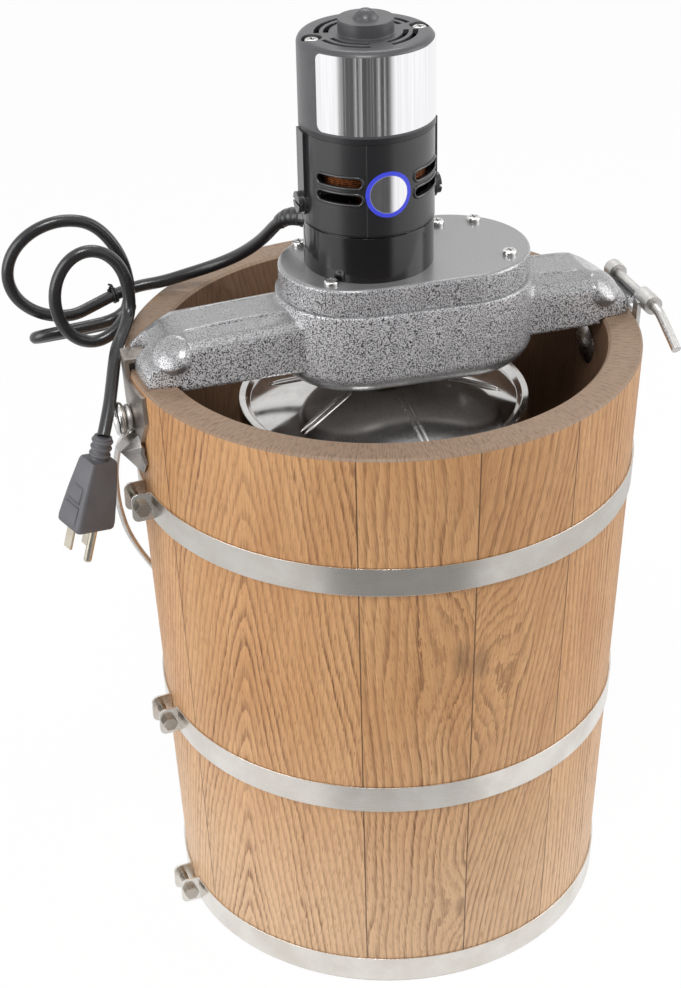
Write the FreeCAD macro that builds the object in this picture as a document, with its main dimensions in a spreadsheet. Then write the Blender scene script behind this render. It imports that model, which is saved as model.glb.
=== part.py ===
import FreeCAD, Part
import math
import os
import re
import Sketcher

# Electric ice cream maker: a stave tub, a turning can with a still dasher, a gear head that lies
# across the rim, a motor on the head and a mains cord put away over the rim.
# Frame: +Z up, origin at the middle of the tub's base, +X along the gear head's right arm.
# Every length is in millimetres and every angle in degrees.

SIZES = {
    # tub of wooden staves
    "tub_height": 384.0,
    "tub_top_radius": 152.5,
    "tub_base_radius": 136.0,
    "stave_thickness": 20.0,
    "rim_chamfer": 1.5,
    "floor_rise": 14.0,
    "floor_thickness": 16.0,
    "croze_depth": 5.0,
    "croze_gap": 0.2,
    # split steel hoops with a clamping bolt each
    "hoop_width": 18.0,
    "hoop_thickness": 1.2,
    "hoop_fit": 0.1,
    "hoop_top_gap": 7.5,
    "hoop_middle_rise": 140.5,
    "hoop_bottom_rise": 1.5,
    "hoop_gap": 14.0,
    "hoop_ear_length": 13.0,
    "hoop_ear_round": 4.0,
    "hoop_ear_angle": 183.8,
    "hoop_bolt_radius": 2.5,
    "hoop_nut_flats": 8.0,
    "hoop_nut_height": 4.0,
    # steel brackets on the tub wall: bail pivots, arm keeper and latch
    "bracket_thickness": 2.5,
    "bracket_fit": 0.1,
    "bracket_drop": 62.0,
    "bracket_half_width": 30.0,
    "bracket_side": 20.0,
    "left_plate_front": 27.0,
    "left_plate_back": 22.0,
    "keeper_front": 1.0,
    "keeper_back": 17.0,
    "keeper_reach": 11.0,
    "keeper_gap": 1.0,
    "pivot_drop": 28.0,
    "pivot_bolt_radius": 4.0,
    "pivot_head_radius": 13.0,
    "pivot_head_height": 4.0,
    "pivot_ring_radius": 7.6,
    "pivot_ring_stock": 2.6,
    "pivot_hub_height": 2.6,
    "pivot_bolt_end": 1.0,
    # wire bail, hanging behind the tub
    "bail_wire_radius": 1.9,
    "bail_eye_gap": 0.35,
    "bail_reach": 312.0,
    "bail_rest_gap": 5.1,
    # latch rod in two knuckles beside the right arm
    "latch_rod_radius": 2.9,
    "latch_run_gap": 0.08,
    "latch_offset": 4.5,
    "latch_lift": 9.0,
    "latch_front": 70.0,
    "latch_back": 24.0,
    "latch_bend": 41.0,
    "latch_dip": 13.5,
    "knuckle_radius": 5.75,
    "front_knuckle_inner": 21.0,
    "front_knuckle_outer": 37.0,
    "back_knuckle_inner": 13.5,
    "back_knuckle_outer": 22.0,
    # gear head: frame with two arms, and its cover
    "head_left_x": -17.1,
    "head_left_radius": 44.3,
    "head_right_x": 41.5,
    "head_right_radius": 47.1,
    "head_flange": 2.0,
    "head_wall": 6.0,
    "head_top_rise": 50.5,
    "head_split_rise": 34.2,
    "head_drop": 16.0,
    "head_floor": 8.0,
    "head_round": 12.0,
    "cover_round": 2.0,
    "cover_plate": 3.2,
    "gear_plate_thickness": 3.0,
    "gear_plate_ledge": 4.0,
    "gear_plate_fit": 0.3,
    "arm_half_width": 26.0,
    "arm_ridge_half_width": 12.0,
    "arm_root_rise": 32.0,
    "arm_end_rise": 28.3,
    "arm_shoulder_drop": 8.0,
    "arm_shoulder_round": 4.5,
    "arm_slope_start": 29.5,
    "arm_drop": 3.0,
    "nose_rise": 9.0,
    "foot_inset": 3.5,
    "foot_length": 8.0,
    "foot_height": 5.5,
    "foot_clearance": 1.5,
    "tongue_half_width": 12.0,
    "arm_boss_radius": 8.5,
    "arm_boss_height": 2.6,
    "arm_boss_aside": 15.5,
    "cover_screw_radius": 2.0,
    "cover_screw_length": 25.0,
    "screw_head_radius": 4.2,
    "screw_head_height": 2.8,
    "screw_boss_radius": 4.5,
    # gear train
    "gear_module": 1.25,
    "pressure_angle": 20.0,
    "pinion_teeth": 13.0,
    "wheel_teeth": 45.0,
    "output_teeth": 32.0,
    "addendum_factor": 0.8,
    "dedendum_factor": 1.05,
    "gear_backlash": 0.12,
    "wheel_width": 8.0,
    "output_width": 14.0,
    "gear_side_gap": 0.4,
    "hub_radius": 13.0,
    "hub_bore": 8.6,
    "bush_wall": 4.0,
    "bush_flange": 3.0,
    "bush_flange_thickness": 2.5,
    "arbor_radius": 4.0,
    "shaft_run_gap": 0.05,
    "wheel_hub_radius": 6.5,
    # can, lid and dasher
    "can_radius": 86.0,
    "can_wall": 1.0,
    "can_base_rise": 10.0,
    "can_rim_drop": 42.0,
    "can_corner": 5.0,
    "lid_thickness": 1.0,
    "lid_fit": 0.3,
    "lid_skirt": 6.0,
    "lid_crown": 16.0,
    "lid_bead": 3.0,
    "lid_hub_radius": 18.0,
    "lid_hub_height": 20.0,
    "dog_length": 25.0,
    "dog_width": 5.0,
    "dog_depth": 4.0,
    "dog_gap": 0.2,
    "pivot_pin_radius": 6.0,
    "pivot_pin_gap": 0.35,
    "seat_radius": 14.0,
    "dasher_stem_radius": 8.0,
    "dasher_square": 11.0,
    "dasher_bar": 8.0,
    "scraper_thickness": 8.0,
    "scraper_gap": 0.7,
    # motor
    "motor_base_radius": 37.5,
    "motor_middle_radius": 38.0,
    "motor_top_radius": 38.5,
    "motor_wall": 3.0,
    "motor_base_height": 28.1,
    "motor_middle_height": 54.3,
    "motor_top_height": 51.4,
    "motor_top_round": 5.0,
    "motor_boss_radius": 15.6,
    "motor_boss_height": 7.8,
    "motor_dome_radius": 7.5,
    "motor_dome_height": 5.0,
    "motor_shaft_radius": 4.0,
    "bearing_radius": 11.0,
    "bearing_height": 8.0,
    "vent_height": 6.6,
    "vent_rise": 18.8,
    "vent_pitch": 9.7,
    "vent_sweep_angle": 44.0,
    "brush_rise": 12.0,
    "brush_cap_radius": 6.0,
    "brush_cap_proud": 3.0,
    "rib_half_width": 6.0,
    "rib_proud": 1.6,
    "commutator_radius": 11.0,
    "core_radius": 20.5,
    "core_height": 30.0,
    "core_rise": 34.0,
    "air_gap": 0.7,
    "winding_height": 11.0,
    "fan_radius": 30.0,
    "fan_height": 7.0,
    "cap_screw_circle": 31.0,
    "cap_pocket_radius": 5.7,
    "cap_pocket_depth": 3.4,
    "cap_slot_radius": 28.6,
    "cap_slot_width": 3.0,
    "cap_slot_pitch": 5.2,
    "cap_slot_sweep_angle": 64.0,
    # mains cord and plug
    "cord_radius": 3.75,
    "gland_radius": 6.5,
    "gland_length": 5.0,
    "gland_straight": 12.0,
    "gland_angle": 135.0,
    "gland_rise": 18.0,
    "tie_radius": 0.9,
    "relief_length": 14.0,
    "plug_length": 43.0,
    "plug_width": 27.0,
    "plug_depth": 22.0,
    "plug_neck": 13.0,
    "blade_width": 6.3,
    "blade_thickness": 1.5,
    "blade_length": 17.0,
    "blade_spacing": 12.7,
    "ground_radius": 2.4,
    "ground_length": 21.0,
    "ground_offset": 11.9,
}

# widths of the staves in degrees, anticlockwise from the first seam
FIRST_SEAM_ANGLE = -163.5
STAVE_ANGLES = [49.3, 25.6, 24.8, 31.3, 38.0, 27.0, 35.0, 24.0, 41.0, 26.0, 38.0]

# cover screws (x, y)
COVER_SCREWS = [(-40.0, -29.0), (-41.0, 30.5), (45.3, 31.5), (67.5, 29.0), (69.5, -24.0)]

# bearings of the vents, the brushes with the cap screws, and the cap's slots round the motor
VENT_ANGLES = [-134.0, -44.0, 46.0, 136.0]
SIDE_ANGLES = [0.0, 180.0]
CAP_SLOT_ANGLES = [45.0, 135.0, 225.0, 315.0]

V = FreeCAD.Vector
UP = V(0, 0, 1)
TINY = 0.01

doc = FreeCAD.newDocument("ice_cream_maker")
sheet = doc.addObject("Spreadsheet::Sheet", "sizes")
for row, (alias, value) in enumerate(SIZES.items(), start=1):
    sheet.set(f"A{row}", alias)
    sheet.set(f"B{row}", str(value))
    sheet.setAlias(f"B{row}", alias)
doc.recompute()


class Read:
    """The sheet's values as attributes."""

    def __getattr__(self, alias):
        return float(sheet.get(alias))


d = Read()
NODES = []

# places that several pieces share
H = d.tub_height
TAPER = (d.tub_top_radius - d.tub_base_radius) / H


def outer_at(z):
    return d.tub_base_radius + TAPER * z


def inner_at(z):
    return outer_at(z) - d.stave_thickness


def cos(angle):
    return math.cos(math.radians(angle))


def sin(angle):
    return math.sin(math.radians(angle))


FLOOR_TOP = d.floor_rise + d.floor_thickness
HEAD_TOP = H + d.head_top_rise
SPLIT = H + d.head_split_rise
PLATE_UNDER = SPLIT - d.gear_plate_thickness
HEAD_FLOOR = H - d.head_drop + d.head_floor
PIVOT_Z = H - d.pivot_drop
PIVOT_FACE = outer_at(PIVOT_Z) + d.bracket_fit + d.bracket_thickness
LATCH_X = outer_at(H) + d.latch_offset
LATCH_Z = H + d.latch_lift
FOOT_END = outer_at(H) - d.foot_inset
FOOT_START = FOOT_END - d.foot_length
SLOPE_START = outer_at(H) - d.arm_slope_start
FOOT_TOP = H + d.foot_height
PINION_RADIUS = d.gear_module * d.pinion_teeth / 2
WHEEL_RADIUS = d.gear_module * d.wheel_teeth / 2
OUTPUT_RADIUS = d.gear_module * d.output_teeth / 2
REDUCTION_X = PINION_RADIUS + OUTPUT_RADIUS
MOTOR_X = REDUCTION_X - PINION_RADIUS - WHEEL_RADIUS
BUSH_RADIUS = d.hub_radius + d.shaft_run_gap + d.bush_wall
BUSH_TOP = H + d.foot_height + d.bush_flange_thickness
OUTPUT_UNDER = BUSH_TOP + d.gear_side_gap
OUTPUT_TOP = OUTPUT_UNDER + d.output_width
WHEEL_UNDER = SPLIT + 1.6
WHEEL_TOP = WHEEL_UNDER + d.wheel_width
CAN_BASE = FLOOR_TOP + d.can_base_rise
CAN_TOP = H - d.can_rim_drop
CAN_BORE = d.can_radius - d.can_wall
LID_TOP = CAN_TOP + d.lid_thickness
LID_HUB_TOP = LID_TOP + d.lid_hub_height
MIDDLE_BASE = HEAD_TOP + d.motor_base_height
TOP_BASE = MIDDLE_BASE + d.motor_middle_height
MOTOR_TOP = TOP_BASE + d.motor_top_height
CORE_BASE = MIDDLE_BASE + d.core_rise
CORE_TOP = CORE_BASE + d.core_height
BRUSH_Z = MIDDLE_BASE + d.brush_rise


def place(label, shape):
    """A finished sub-part of the document."""
    part = doc.addObject("Part::Feature", label)
    part.Label = label
    part.Shape = shape
    NODES.append(part)
    return part


def keep(part, label):
    part.Label = label
    NODES.append(part)
    return part


def bound(text):
    """An expression with the sheet's words tied to the sheet."""
    return re.sub(r"[a-z_]+", lambda word: f"sizes.{word[0]}", text)


def turned(label, profile, sweep="360", bearing=0.0, axis_x=0.0):
    """A turned body: its half section, as (radius, height) expressions, revolved about its axis."""
    body = doc.addObject("PartDesign::Body", label)
    sketch = body.newObject("Sketcher::SketchObject", label + "_section")
    plane = next(item for item in body.Origin.OriginFeatures if item.Role == "XZ_Plane")
    sketch.AttachmentSupport = [(plane, "")]
    sketch.MapMode = "FlatFace"
    count = len(profile)
    corners = [V(step + 1, step * step, 0) for step in range(count)]
    for step in range(count):
        sketch.addGeometry(Part.LineSegment(corners[step], corners[(step + 1) % count]), False)
    for step in range(count):
        sketch.addConstraint(Sketcher.Constraint("Coincident", step, 2, (step + 1) % count, 1))
    for step, pair in enumerate(profile):
        for kind, start, text in zip(("DistanceX", "DistanceY"), corners[step], pair):
            index = sketch.addConstraint(Sketcher.Constraint(kind, -1, 1, step, 1, float(start)))
            sketch.setExpression(f"Constraints[{index}]", bound(text))
    turn = body.newObject("PartDesign::Revolution", label + "_turn")
    turn.Profile = sketch
    turn.ReferenceAxis = (sketch, ["V_Axis"])
    turn.Midplane = True
    turn.setExpression("Angle", bound(sweep))
    body.Placement = FreeCAD.Placement(V(axis_x, 0, 0), FreeCAD.Rotation(UP, bearing))
    return body


def cylinder(label, radius, height, base, direction=UP):
    """A cylinder of the document, its radius and height bound to the sheet."""
    part = doc.addObject("Part::Cylinder", label)
    part.setExpression("Radius", bound(radius))
    part.setExpression("Height", bound(height))
    part.Placement = FreeCAD.Placement(base, FreeCAD.Rotation(UP, direction))
    return part


def revolved(profile, sweep=360.0, bearing=0.0, axis_x=0.0):
    """The solid of a half section of (radius, height) numbers, centred on a bearing."""
    wire = Part.makePolygon([V(r, 0, z) for r, z in profile] + [V(profile[0][0], 0, profile[0][1])])
    solid = Part.Face(wire).revolve(V(), UP, sweep)
    solid.rotate(V(), UP, bearing - (sweep / 2 if sweep < 360 else 0))
    solid.translate(V(axis_x, 0, 0))
    return solid


def rod(radius, start, end):
    """A round bar between two points."""
    return Part.makeCylinder(radius, (end - start).Length, start, end - start)


def block(x0, x1, y0, y1, z0, z1):
    return Part.makeBox(x1 - x0, y1 - y0, z1 - z0, V(x0, y0, z0))


def hexagon(flats, height, base, direction):
    """A hexagon prism of a width across flats."""
    corner = flats / (2 * cos(30))
    ring = [V(corner * cos(60 * step), corner * sin(60 * step), 0) for step in range(7)]
    prism = Part.Face(Part.makePolygon(ring)).extrude(V(0, 0, height))
    prism.Placement = FreeCAD.Placement(base, FreeCAD.Rotation(UP, direction))
    return prism


def head_prism(offset, z0, z1):
    """The gear head's outline, drawn in by an offset, between two heights: two arcs and their tangents."""
    left = d.head_left_radius - offset
    right = d.head_right_radius - offset
    lean = (left - right) / (d.head_right_x - d.head_left_x)
    rise = math.sqrt(1 - lean * lean)

    def touch(x, radius, side):
        return V(x + radius * lean, side * radius * rise, z0)

    back_left = touch(d.head_left_x, left, 1)
    front_left = touch(d.head_left_x, left, -1)
    back_right = touch(d.head_right_x, right, 1)
    front_right = touch(d.head_right_x, right, -1)
    outline = Part.Wire([
        Part.Arc(back_left, V(d.head_left_x - left, 0, z0), front_left).toShape(),
        Part.LineSegment(front_left, front_right).toShape(),
        Part.Arc(front_right, V(d.head_right_x + right, 0, z0), back_right).toShape(),
        Part.LineSegment(back_right, back_left).toShape(),
    ])
    return Part.Face(outline).extrude(V(0, 0, z1 - z0))


def level_edges(shape, z):
    """The edges of a shape that lie at one height."""
    return [edge for edge in shape.Edges
            if abs(edge.BoundBox.ZMin - z) < TINY and abs(edge.BoundBox.ZMax - z) < TINY]


def gear(teeth, phase, z0, width, bore):
    """A spur gear about the Z axis with a tooth centred on the phase angle."""
    count = int(teeth)
    pitch_radius = d.gear_module * count / 2
    base_radius = pitch_radius * cos(d.pressure_angle)
    tip = pitch_radius + d.addendum_factor * d.gear_module
    root = pitch_radius - d.dedendum_factor * d.gear_module
    foot = max(base_radius, root)
    half = math.pi / (2 * count) - d.gear_backlash / (2 * pitch_radius)
    start = math.tan(math.radians(d.pressure_angle)) - math.radians(d.pressure_angle)

    def flank(radius):
        angle = math.acos(min(1.0, base_radius / radius))
        return half + start - (math.tan(angle) - angle)

    def at(radius, angle):
        return V(radius * math.cos(angle), radius * math.sin(angle), z0)

    edges = []
    for step in range(count):
        middle = math.radians(phase) + 2 * math.pi * step / count
        following = middle + 2 * math.pi / count
        radii = (foot, (foot + tip) / 2, tip)
        rising = [at(radius, middle - flank(radius)) for radius in radii]
        falling = [at(radius, middle + flank(radius)) for radius in reversed(radii)]
        if foot > root + TINY:
            edges.append(Part.LineSegment(at(root, middle - flank(foot)), rising[0]))
        edges.append(Part.Arc(*rising))
        edges.append(Part.LineSegment(rising[2], falling[0]))
        edges.append(Part.Arc(*falling))
        if foot > root + TINY:
            edges.append(Part.LineSegment(falling[2], at(root, middle + flank(foot))))
        edges.append(Part.LineSegment(at(root, middle + flank(foot)), at(root, following - flank(foot))))
    toothed = Part.Face(Part.Wire([edge.toShape() for edge in edges])).extrude(V(0, 0, width))
    return toothed.cut(Part.makeCylinder(bore, width, V(0, 0, z0)))


def rounded_path(points):
    """Straight runs joined by tangent arcs, each as large as its two runs allow, and the arcs' radii."""
    edges = []
    radii = []
    tip = points[0]
    for before, corner, after in zip(points, points[1:], points[2:]):
        back = (before - corner).normalize()
        ahead = (after - corner).normalize()
        reach = 0.45 * min((before - corner).Length, (after - corner).Length)
        half = back.getAngle(ahead) / 2
        middle = (back + ahead).normalize()
        radius = reach * math.tan(half)
        centre = corner + middle * (reach / math.cos(half))
        arc_start = corner + back * reach
        arc_end = corner + ahead * reach
        edges.append(Part.LineSegment(tip, arc_start).toShape())
        edges.append(Part.Arc(arc_start, centre - middle * radius, arc_end).toShape())
        radii.append(radius)
        tip = arc_end
    edges.append(Part.LineSegment(tip, points[-1]).toShape())
    return Part.Wire(edges), radii


def tube(label, points, radius):
    """A round tube along a rounded path, with its tightest bend and its volume set against its length."""
    path, radii = rounded_path(points)
    section = Part.Wire(Part.makeCircle(radius, points[0], points[1] - points[0]))
    solid = path.makePipeShell([section], True, False)
    share = solid.Volume / (math.pi * radius * radius * path.Length)
    print(f"{label}: length {path.Length:.0f}, volume share {share:.4f}, radii",
          " ".join(f"{value:.0f}" for value in radii))
    return solid


def check_spread(label, points, radius, skip):
    """Prints the least gap between strands of a tube whose points lie over skip steps apart."""
    path, _ = rounded_path(points)
    samples = path.discretize(Number=40 * len(points) // 4)
    spacing = path.Length / len(samples)
    apart = int(skip / spacing)
    least = min((a - b).Length for i, a in enumerate(samples) for b in samples[i + apart:])
    print(f"{label}: least gap to itself {least - 2 * radius:.2f}")


# tub
STAVE_SECTION = [
    ("tub_base_radius - stave_thickness", "0"),
    ("tub_base_radius", "0"),
    ("tub_top_radius - (tub_top_radius - tub_base_radius) * rim_chamfer / tub_height",
     "tub_height - rim_chamfer"),
    ("tub_top_radius - rim_chamfer", "tub_height"),
    ("tub_top_radius - stave_thickness + rim_chamfer", "tub_height"),
    ("tub_top_radius - stave_thickness - (tub_top_radius - tub_base_radius) * rim_chamfer / tub_height",
     "tub_height - rim_chamfer"),
    ("tub_base_radius - stave_thickness"
     " + (tub_top_radius - tub_base_radius) * (floor_rise + floor_thickness) / tub_height",
     "floor_rise + floor_thickness"),
    ("tub_base_radius - stave_thickness + (tub_top_radius - tub_base_radius) * floor_rise / tub_height"
     " + croze_depth",
     "floor_rise + floor_thickness"),
    ("tub_base_radius - stave_thickness + (tub_top_radius - tub_base_radius) * floor_rise / tub_height"
     " + croze_depth",
     "floor_rise"),
    ("tub_base_radius - stave_thickness + (tub_top_radius - tub_base_radius) * floor_rise / tub_height",
     "floor_rise"),
]


def make_staves():
    """Staves side by side, the two on the X axis bored for the bail's pivot bolts."""
    seam = FIRST_SEAM_ANGLE
    for index, sweep in enumerate(STAVE_ANGLES, start=1):
        label = f"stave_{index:02d}"
        middle = seam + sweep / 2
        blank = turned(label + "_blank", STAVE_SECTION, str(sweep), middle)
        bores = [side for side in SIDE_ANGLES
                 if abs((side - middle + 180) % 360 - 180) < sweep / 2]
        if bores:
            bore = cylinder(label + "_bore", "pivot_bolt_radius", "tub_top_radius",
                            V(0, 0, PIVOT_Z), V(cos(bores[0]), sin(bores[0]), 0))
            stave = doc.addObject("Part::Cut", label)
            stave.Base = blank
            stave.Tool = bore
        else:
            stave = blank
        keep(stave, label)
        seam += sweep


def make_floor():
    radius = ("tub_base_radius - stave_thickness + (tub_top_radius - tub_base_radius) * floor_rise"
              " / tub_height + croze_depth - croze_gap")
    floor = cylinder("tub_floor", radius, "floor_thickness", V(0, 0, d.floor_rise))
    keep(floor, "tub_floor")


def make_hoops():
    """Split bands that follow the tub's taper, with turned-out ears, a bolt and a nut each."""
    bolts = []
    nuts = []
    facing = FreeCAD.Rotation(UP, d.hoop_ear_angle)
    under_brackets = H - d.bracket_drop - d.hoop_top_gap - d.hoop_width
    for name, base in (("top", under_brackets), ("middle", d.hoop_middle_rise),
                       ("bottom", d.hoop_bottom_rise)):
        top = base + d.hoop_width
        middle = base + d.hoop_width / 2
        wall = outer_at(middle) + d.hoop_fit
        opening = 2 * math.degrees(math.asin((d.hoop_gap / 2 + d.hoop_thickness / 2) / wall))
        band = revolved([
            (outer_at(base) + d.hoop_fit, base),
            (outer_at(base) + d.hoop_fit + d.hoop_thickness, base),
            (outer_at(top) + d.hoop_fit + d.hoop_thickness, top),
            (outer_at(top) + d.hoop_fit, top),
        ], 360 - opening, d.hoop_ear_angle + 180)
        ears = []
        for side in (-1, 1):
            face = side * d.hoop_gap / 2
            back = face + side * d.hoop_thickness
            ear = block(wall, wall + d.hoop_ear_length, min(face, back), max(face, back), base, top)
            corners = [edge for edge in ear.Edges
                       if edge.BoundBox.XMin > wall + d.hoop_ear_length - TINY
                       and edge.BoundBox.YLength > TINY and edge.BoundBox.ZLength < TINY]
            ears.append(ear.makeFillet(d.hoop_ear_round, corners))
        reach = d.hoop_gap / 2 + d.hoop_thickness
        line = wall + d.hoop_thickness + (d.hoop_ear_length - d.hoop_thickness) / 2
        hole = rod(d.hoop_bolt_radius + d.hoop_fit, V(line, -2 * reach, middle), V(line, 2 * reach, middle))
        ears = [ear.cut(hole) for ear in ears]
        bolt = rod(d.hoop_bolt_radius, V(line, -reach - 1.6 * d.hoop_nut_height, middle),
                   V(line, reach, middle))
        bolt = bolt.fuse(hexagon(d.hoop_nut_flats, d.hoop_nut_height, V(line, reach, middle), V(0, 1, 0)))
        nut = hexagon(d.hoop_nut_flats, d.hoop_nut_height,
                      V(line, -reach - d.hoop_nut_height, middle), V(0, 1, 0))
        nut = nut.cut(rod(d.hoop_bolt_radius, V(line, -2 * reach, middle), V(line, 2 * reach, middle)))
        for piece in ears + [bolt, nut]:
            piece.Placement = FreeCAD.Placement(V(), facing) * piece.Placement
        place("hoop_" + name, band.fuse(ears).removeSplitter())
        bolts.append(bolt.removeSplitter())
        nuts.append(nut)
    place("hoop_bolts", Part.makeCompound(bolts))
    place("hoop_nuts", Part.makeCompound(nuts))


def wall_plate(outline, side):
    """A steel plate curved to the tub's wall, cut to an outline of (y, z) points, on one side of the tub."""
    low = min(z for _, z in outline)
    high = max(z for _, z in outline)
    skin = revolved([
        (outer_at(low) + d.bracket_fit, low),
        (outer_at(low) + d.bracket_fit + d.bracket_thickness, low),
        (outer_at(high) + d.bracket_fit + d.bracket_thickness, high),
        (outer_at(high) + d.bracket_fit, high),
    ], 60, 0 if side > 0 else 180)
    near = outer_at(low) / 2 * side
    corners = [V(near, y, z) for y, z in outline]
    cutter = Part.Face(Part.makePolygon(corners + corners[:1])).extrude(V(side * outer_at(high), 0, 0))
    bore = rod(d.pivot_bolt_radius + d.bracket_fit, V(0, 0, PIVOT_Z),
               V(side * 2 * outer_at(high), 0, PIVOT_Z))
    return skin.common(cutter).cut(bore)


def make_brackets():
    """The left bracket hooks over the left foot. The right one carries the latch rod's two knuckles."""
    wide = d.bracket_half_width
    side_low = H - d.bracket_side
    point = (0, H - d.bracket_drop)
    keeper_top = FOOT_TOP + d.gear_side_gap + d.bracket_thickness
    low = H - d.arm_drop
    left = wall_plate([
        (d.keeper_front, keeper_top), (d.keeper_back, keeper_top), (d.keeper_back, low),
        (d.left_plate_back, low), (d.left_plate_back, side_low), point, (-d.left_plate_front, side_low),
        (-d.left_plate_front, low), (d.keeper_front, low),
    ], -1)
    lip = block(-outer_at(H) - d.bracket_fit - d.bracket_thickness / 2, d.keeper_reach - outer_at(H),
                d.keeper_front, d.keeper_back, keeper_top - d.bracket_thickness, keeper_top)
    place("left_bracket", left.fuse(lip).removeSplitter())
    front = -d.front_knuckle_inner
    back = d.back_knuckle_inner
    right = wall_plate([
        (-wide, LATCH_Z), (front, LATCH_Z), (front, H - d.foot_clearance), (back, H - d.foot_clearance),
        (back, LATCH_Z), (d.back_knuckle_outer, LATCH_Z), (d.back_knuckle_outer, H - d.foot_clearance),
        (wide, H - d.foot_clearance), (wide, side_low), point, (-wide, side_low),
    ], 1)
    bore = rod(d.latch_rod_radius + d.latch_run_gap, V(LATCH_X, -2 * wide, LATCH_Z),
               V(LATCH_X, 2 * wide, LATCH_Z))
    for start, end in ((front, -d.front_knuckle_outer), (back, d.back_knuckle_outer)):
        right = right.fuse(rod(d.knuckle_radius, V(LATCH_X, start, LATCH_Z), V(LATCH_X, end, LATCH_Z)))
    place("right_bracket", right.cut(bore).removeSplitter())
    bolts = []
    nuts = []
    eye_width = 2 * d.bail_wire_radius + 2 * d.bail_eye_gap
    nut_face = PIVOT_FACE + eye_width
    bolt_end = nut_face + d.pivot_hub_height + d.pivot_bolt_end
    inside = inner_at(PIVOT_Z)
    for side in (-1, 1):
        out = V(side, 0, 0)
        bolt = rod(d.pivot_bolt_radius, V(side * (inside - d.pivot_head_height), 0, PIVOT_Z),
                   V(side * bolt_end, 0, PIVOT_Z))
        dome = (d.pivot_head_radius ** 2 + d.pivot_head_height ** 2) / (2 * d.pivot_head_height)
        seat = inside * cos(math.degrees(math.asin(d.pivot_head_radius / inside)))
        head = Part.makeSphere(dome, V(side * (seat - d.pivot_head_height + dome), 0, PIVOT_Z))
        head = head.common(rod(d.pivot_head_radius, V(side * (seat - 2 * d.pivot_head_height), 0, PIVOT_Z),
                               V(side * seat, 0, PIVOT_Z)))
        bolts.append(bolt.fuse(head).removeSplitter())
        face = V(side * nut_face, 0, PIVOT_Z)
        nut = rod(d.pivot_ring_radius, face, face + out * d.pivot_hub_height)
        ring = Part.makeTorus(d.pivot_ring_radius, d.pivot_ring_stock, face + out * d.pivot_ring_stock, out)
        nut = nut.fuse(ring)
        nuts.append(nut.cut(rod(d.pivot_bolt_radius, V(0, 0, PIVOT_Z), V(side * 2 * nut_face, 0, PIVOT_Z))))
    place("bracket_bolts", Part.makeCompound(bolts))
    place("bracket_nuts", Part.makeCompound(nuts))


# half of the bail in its own plane, as shares of its reach: (beyond the eye sideways, away from the pivots)
BAIL_HALF = [(0.0, 0.045), (0.014, 0.085), (0.018, 0.173), (0.008, 0.288), (-0.014, 0.397), (-0.042, 0.481),
             (-0.109, 0.641), (-0.205, 0.801), (-0.320, 0.920)]


def bail_hang():
    """The angle below level at which the bow's lowest wire rests just clear of the tapered wall."""
    clear = outer_at(PIVOT_Z) + d.bail_wire_radius + d.bail_rest_gap
    return math.degrees(math.atan(TAPER) + math.acos(clear / (d.bail_reach * math.hypot(1, TAPER))))


def make_bail():
    """A round wire bent to a bow, with an eye on each pivot bolt."""
    eye_x = PIVOT_FACE + d.bail_eye_gap + d.bail_wire_radius
    eye_ring = d.pivot_bolt_radius + d.bail_eye_gap + d.bail_wire_radius
    hang = bail_hang()
    down = V(0, cos(hang), -sin(hang))
    pivot = V(0, 0, PIVOT_Z)

    def at(x, reach):
        return pivot + V(x, 0, 0) + down * reach

    reach = d.bail_reach
    right = [at(eye_x, eye_ring)] + [at(eye_x + aside * reach, share * reach) for aside, share in BAIL_HALF]
    left = [V(-point.x, point.y, point.z) for point in reversed(right)]
    bow = tube("bail", right + [at(0, reach)] + left, d.bail_wire_radius)
    eyes = [Part.makeTorus(eye_ring, d.bail_wire_radius, at(side * eye_x, 0), V(1, 0, 0))
            for side in (-1, 1)]
    place("bail", bow.fuse(eyes).removeSplitter())


def make_latch():
    """A round rod that lies over the right arm's tongue, its front end bent down for the fingers."""
    slope = math.atan2(d.latch_dip, d.latch_front - d.latch_bend) / 2
    bend = V(LATCH_X, -d.latch_bend, LATCH_Z)
    turn = V(0, -math.cos(slope), -math.sin(slope)) * (2 * d.latch_rod_radius)
    points = [V(LATCH_X, d.latch_back, LATCH_Z), bend, bend + turn,
              V(LATCH_X, -d.latch_front, LATCH_Z - d.latch_dip)]
    place("latch_rod", tube("latch_rod", points, d.latch_rod_radius))


# gear head
def polygon(corners):
    """A flat face through corners, without corners that repeat the one before."""
    kept = [corner for corner, before in zip(corners, corners[-1:] + corners[:-1])
            if (corner - before).Length > TINY]
    return Part.Face(Part.makePolygon(kept + kept[:1])) if len(kept) > 2 else None


def skinned(rings):
    """A solid with flat faces between rings of as many corners each."""
    faces = [polygon(rings[0]), polygon(rings[-1])]
    for near, far in zip(rings, rings[1:]):
        for step in range(len(near)):
            back = step - 1
            faces.append(polygon([near[back], near[step], far[step]]))
            faces.append(polygon([near[back], far[step], far[back]]))
    solid = Part.Solid(Part.Shell([face for face in faces if face]))
    if solid.Volume < 0:
        solid.reverse()
    return solid


def arm_ring(x, half, ridge):
    """The arm's section at one place along it: upright sides, rounded shoulders and a low ridge."""
    base = H - d.arm_drop
    share = min(1, (ridge - H) / d.arm_end_rise)
    shoulder = ridge - share * d.arm_shoulder_drop
    inset = half - d.arm_shoulder_round
    upper = shoulder + share * d.arm_shoulder_round
    top = d.arm_ridge_half_width
    corners = [(-half, base), (half, base), (half, shoulder), (inset, upper), (top, ridge),
               (-top, ridge), (-inset, upper), (-half, shoulder)]
    return [V(x, y, z) for y, z in corners]


# the arm's blunt end: (share of the way out, share of the fall, narrower by)
NOSE = [(0.0, 0.0, 0.0), (0.32, 0.23, 0.5), (0.64, 0.54, 1.5), (0.86, 0.78, 2.5), (1.0, 1.0, 4.0)]


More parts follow.
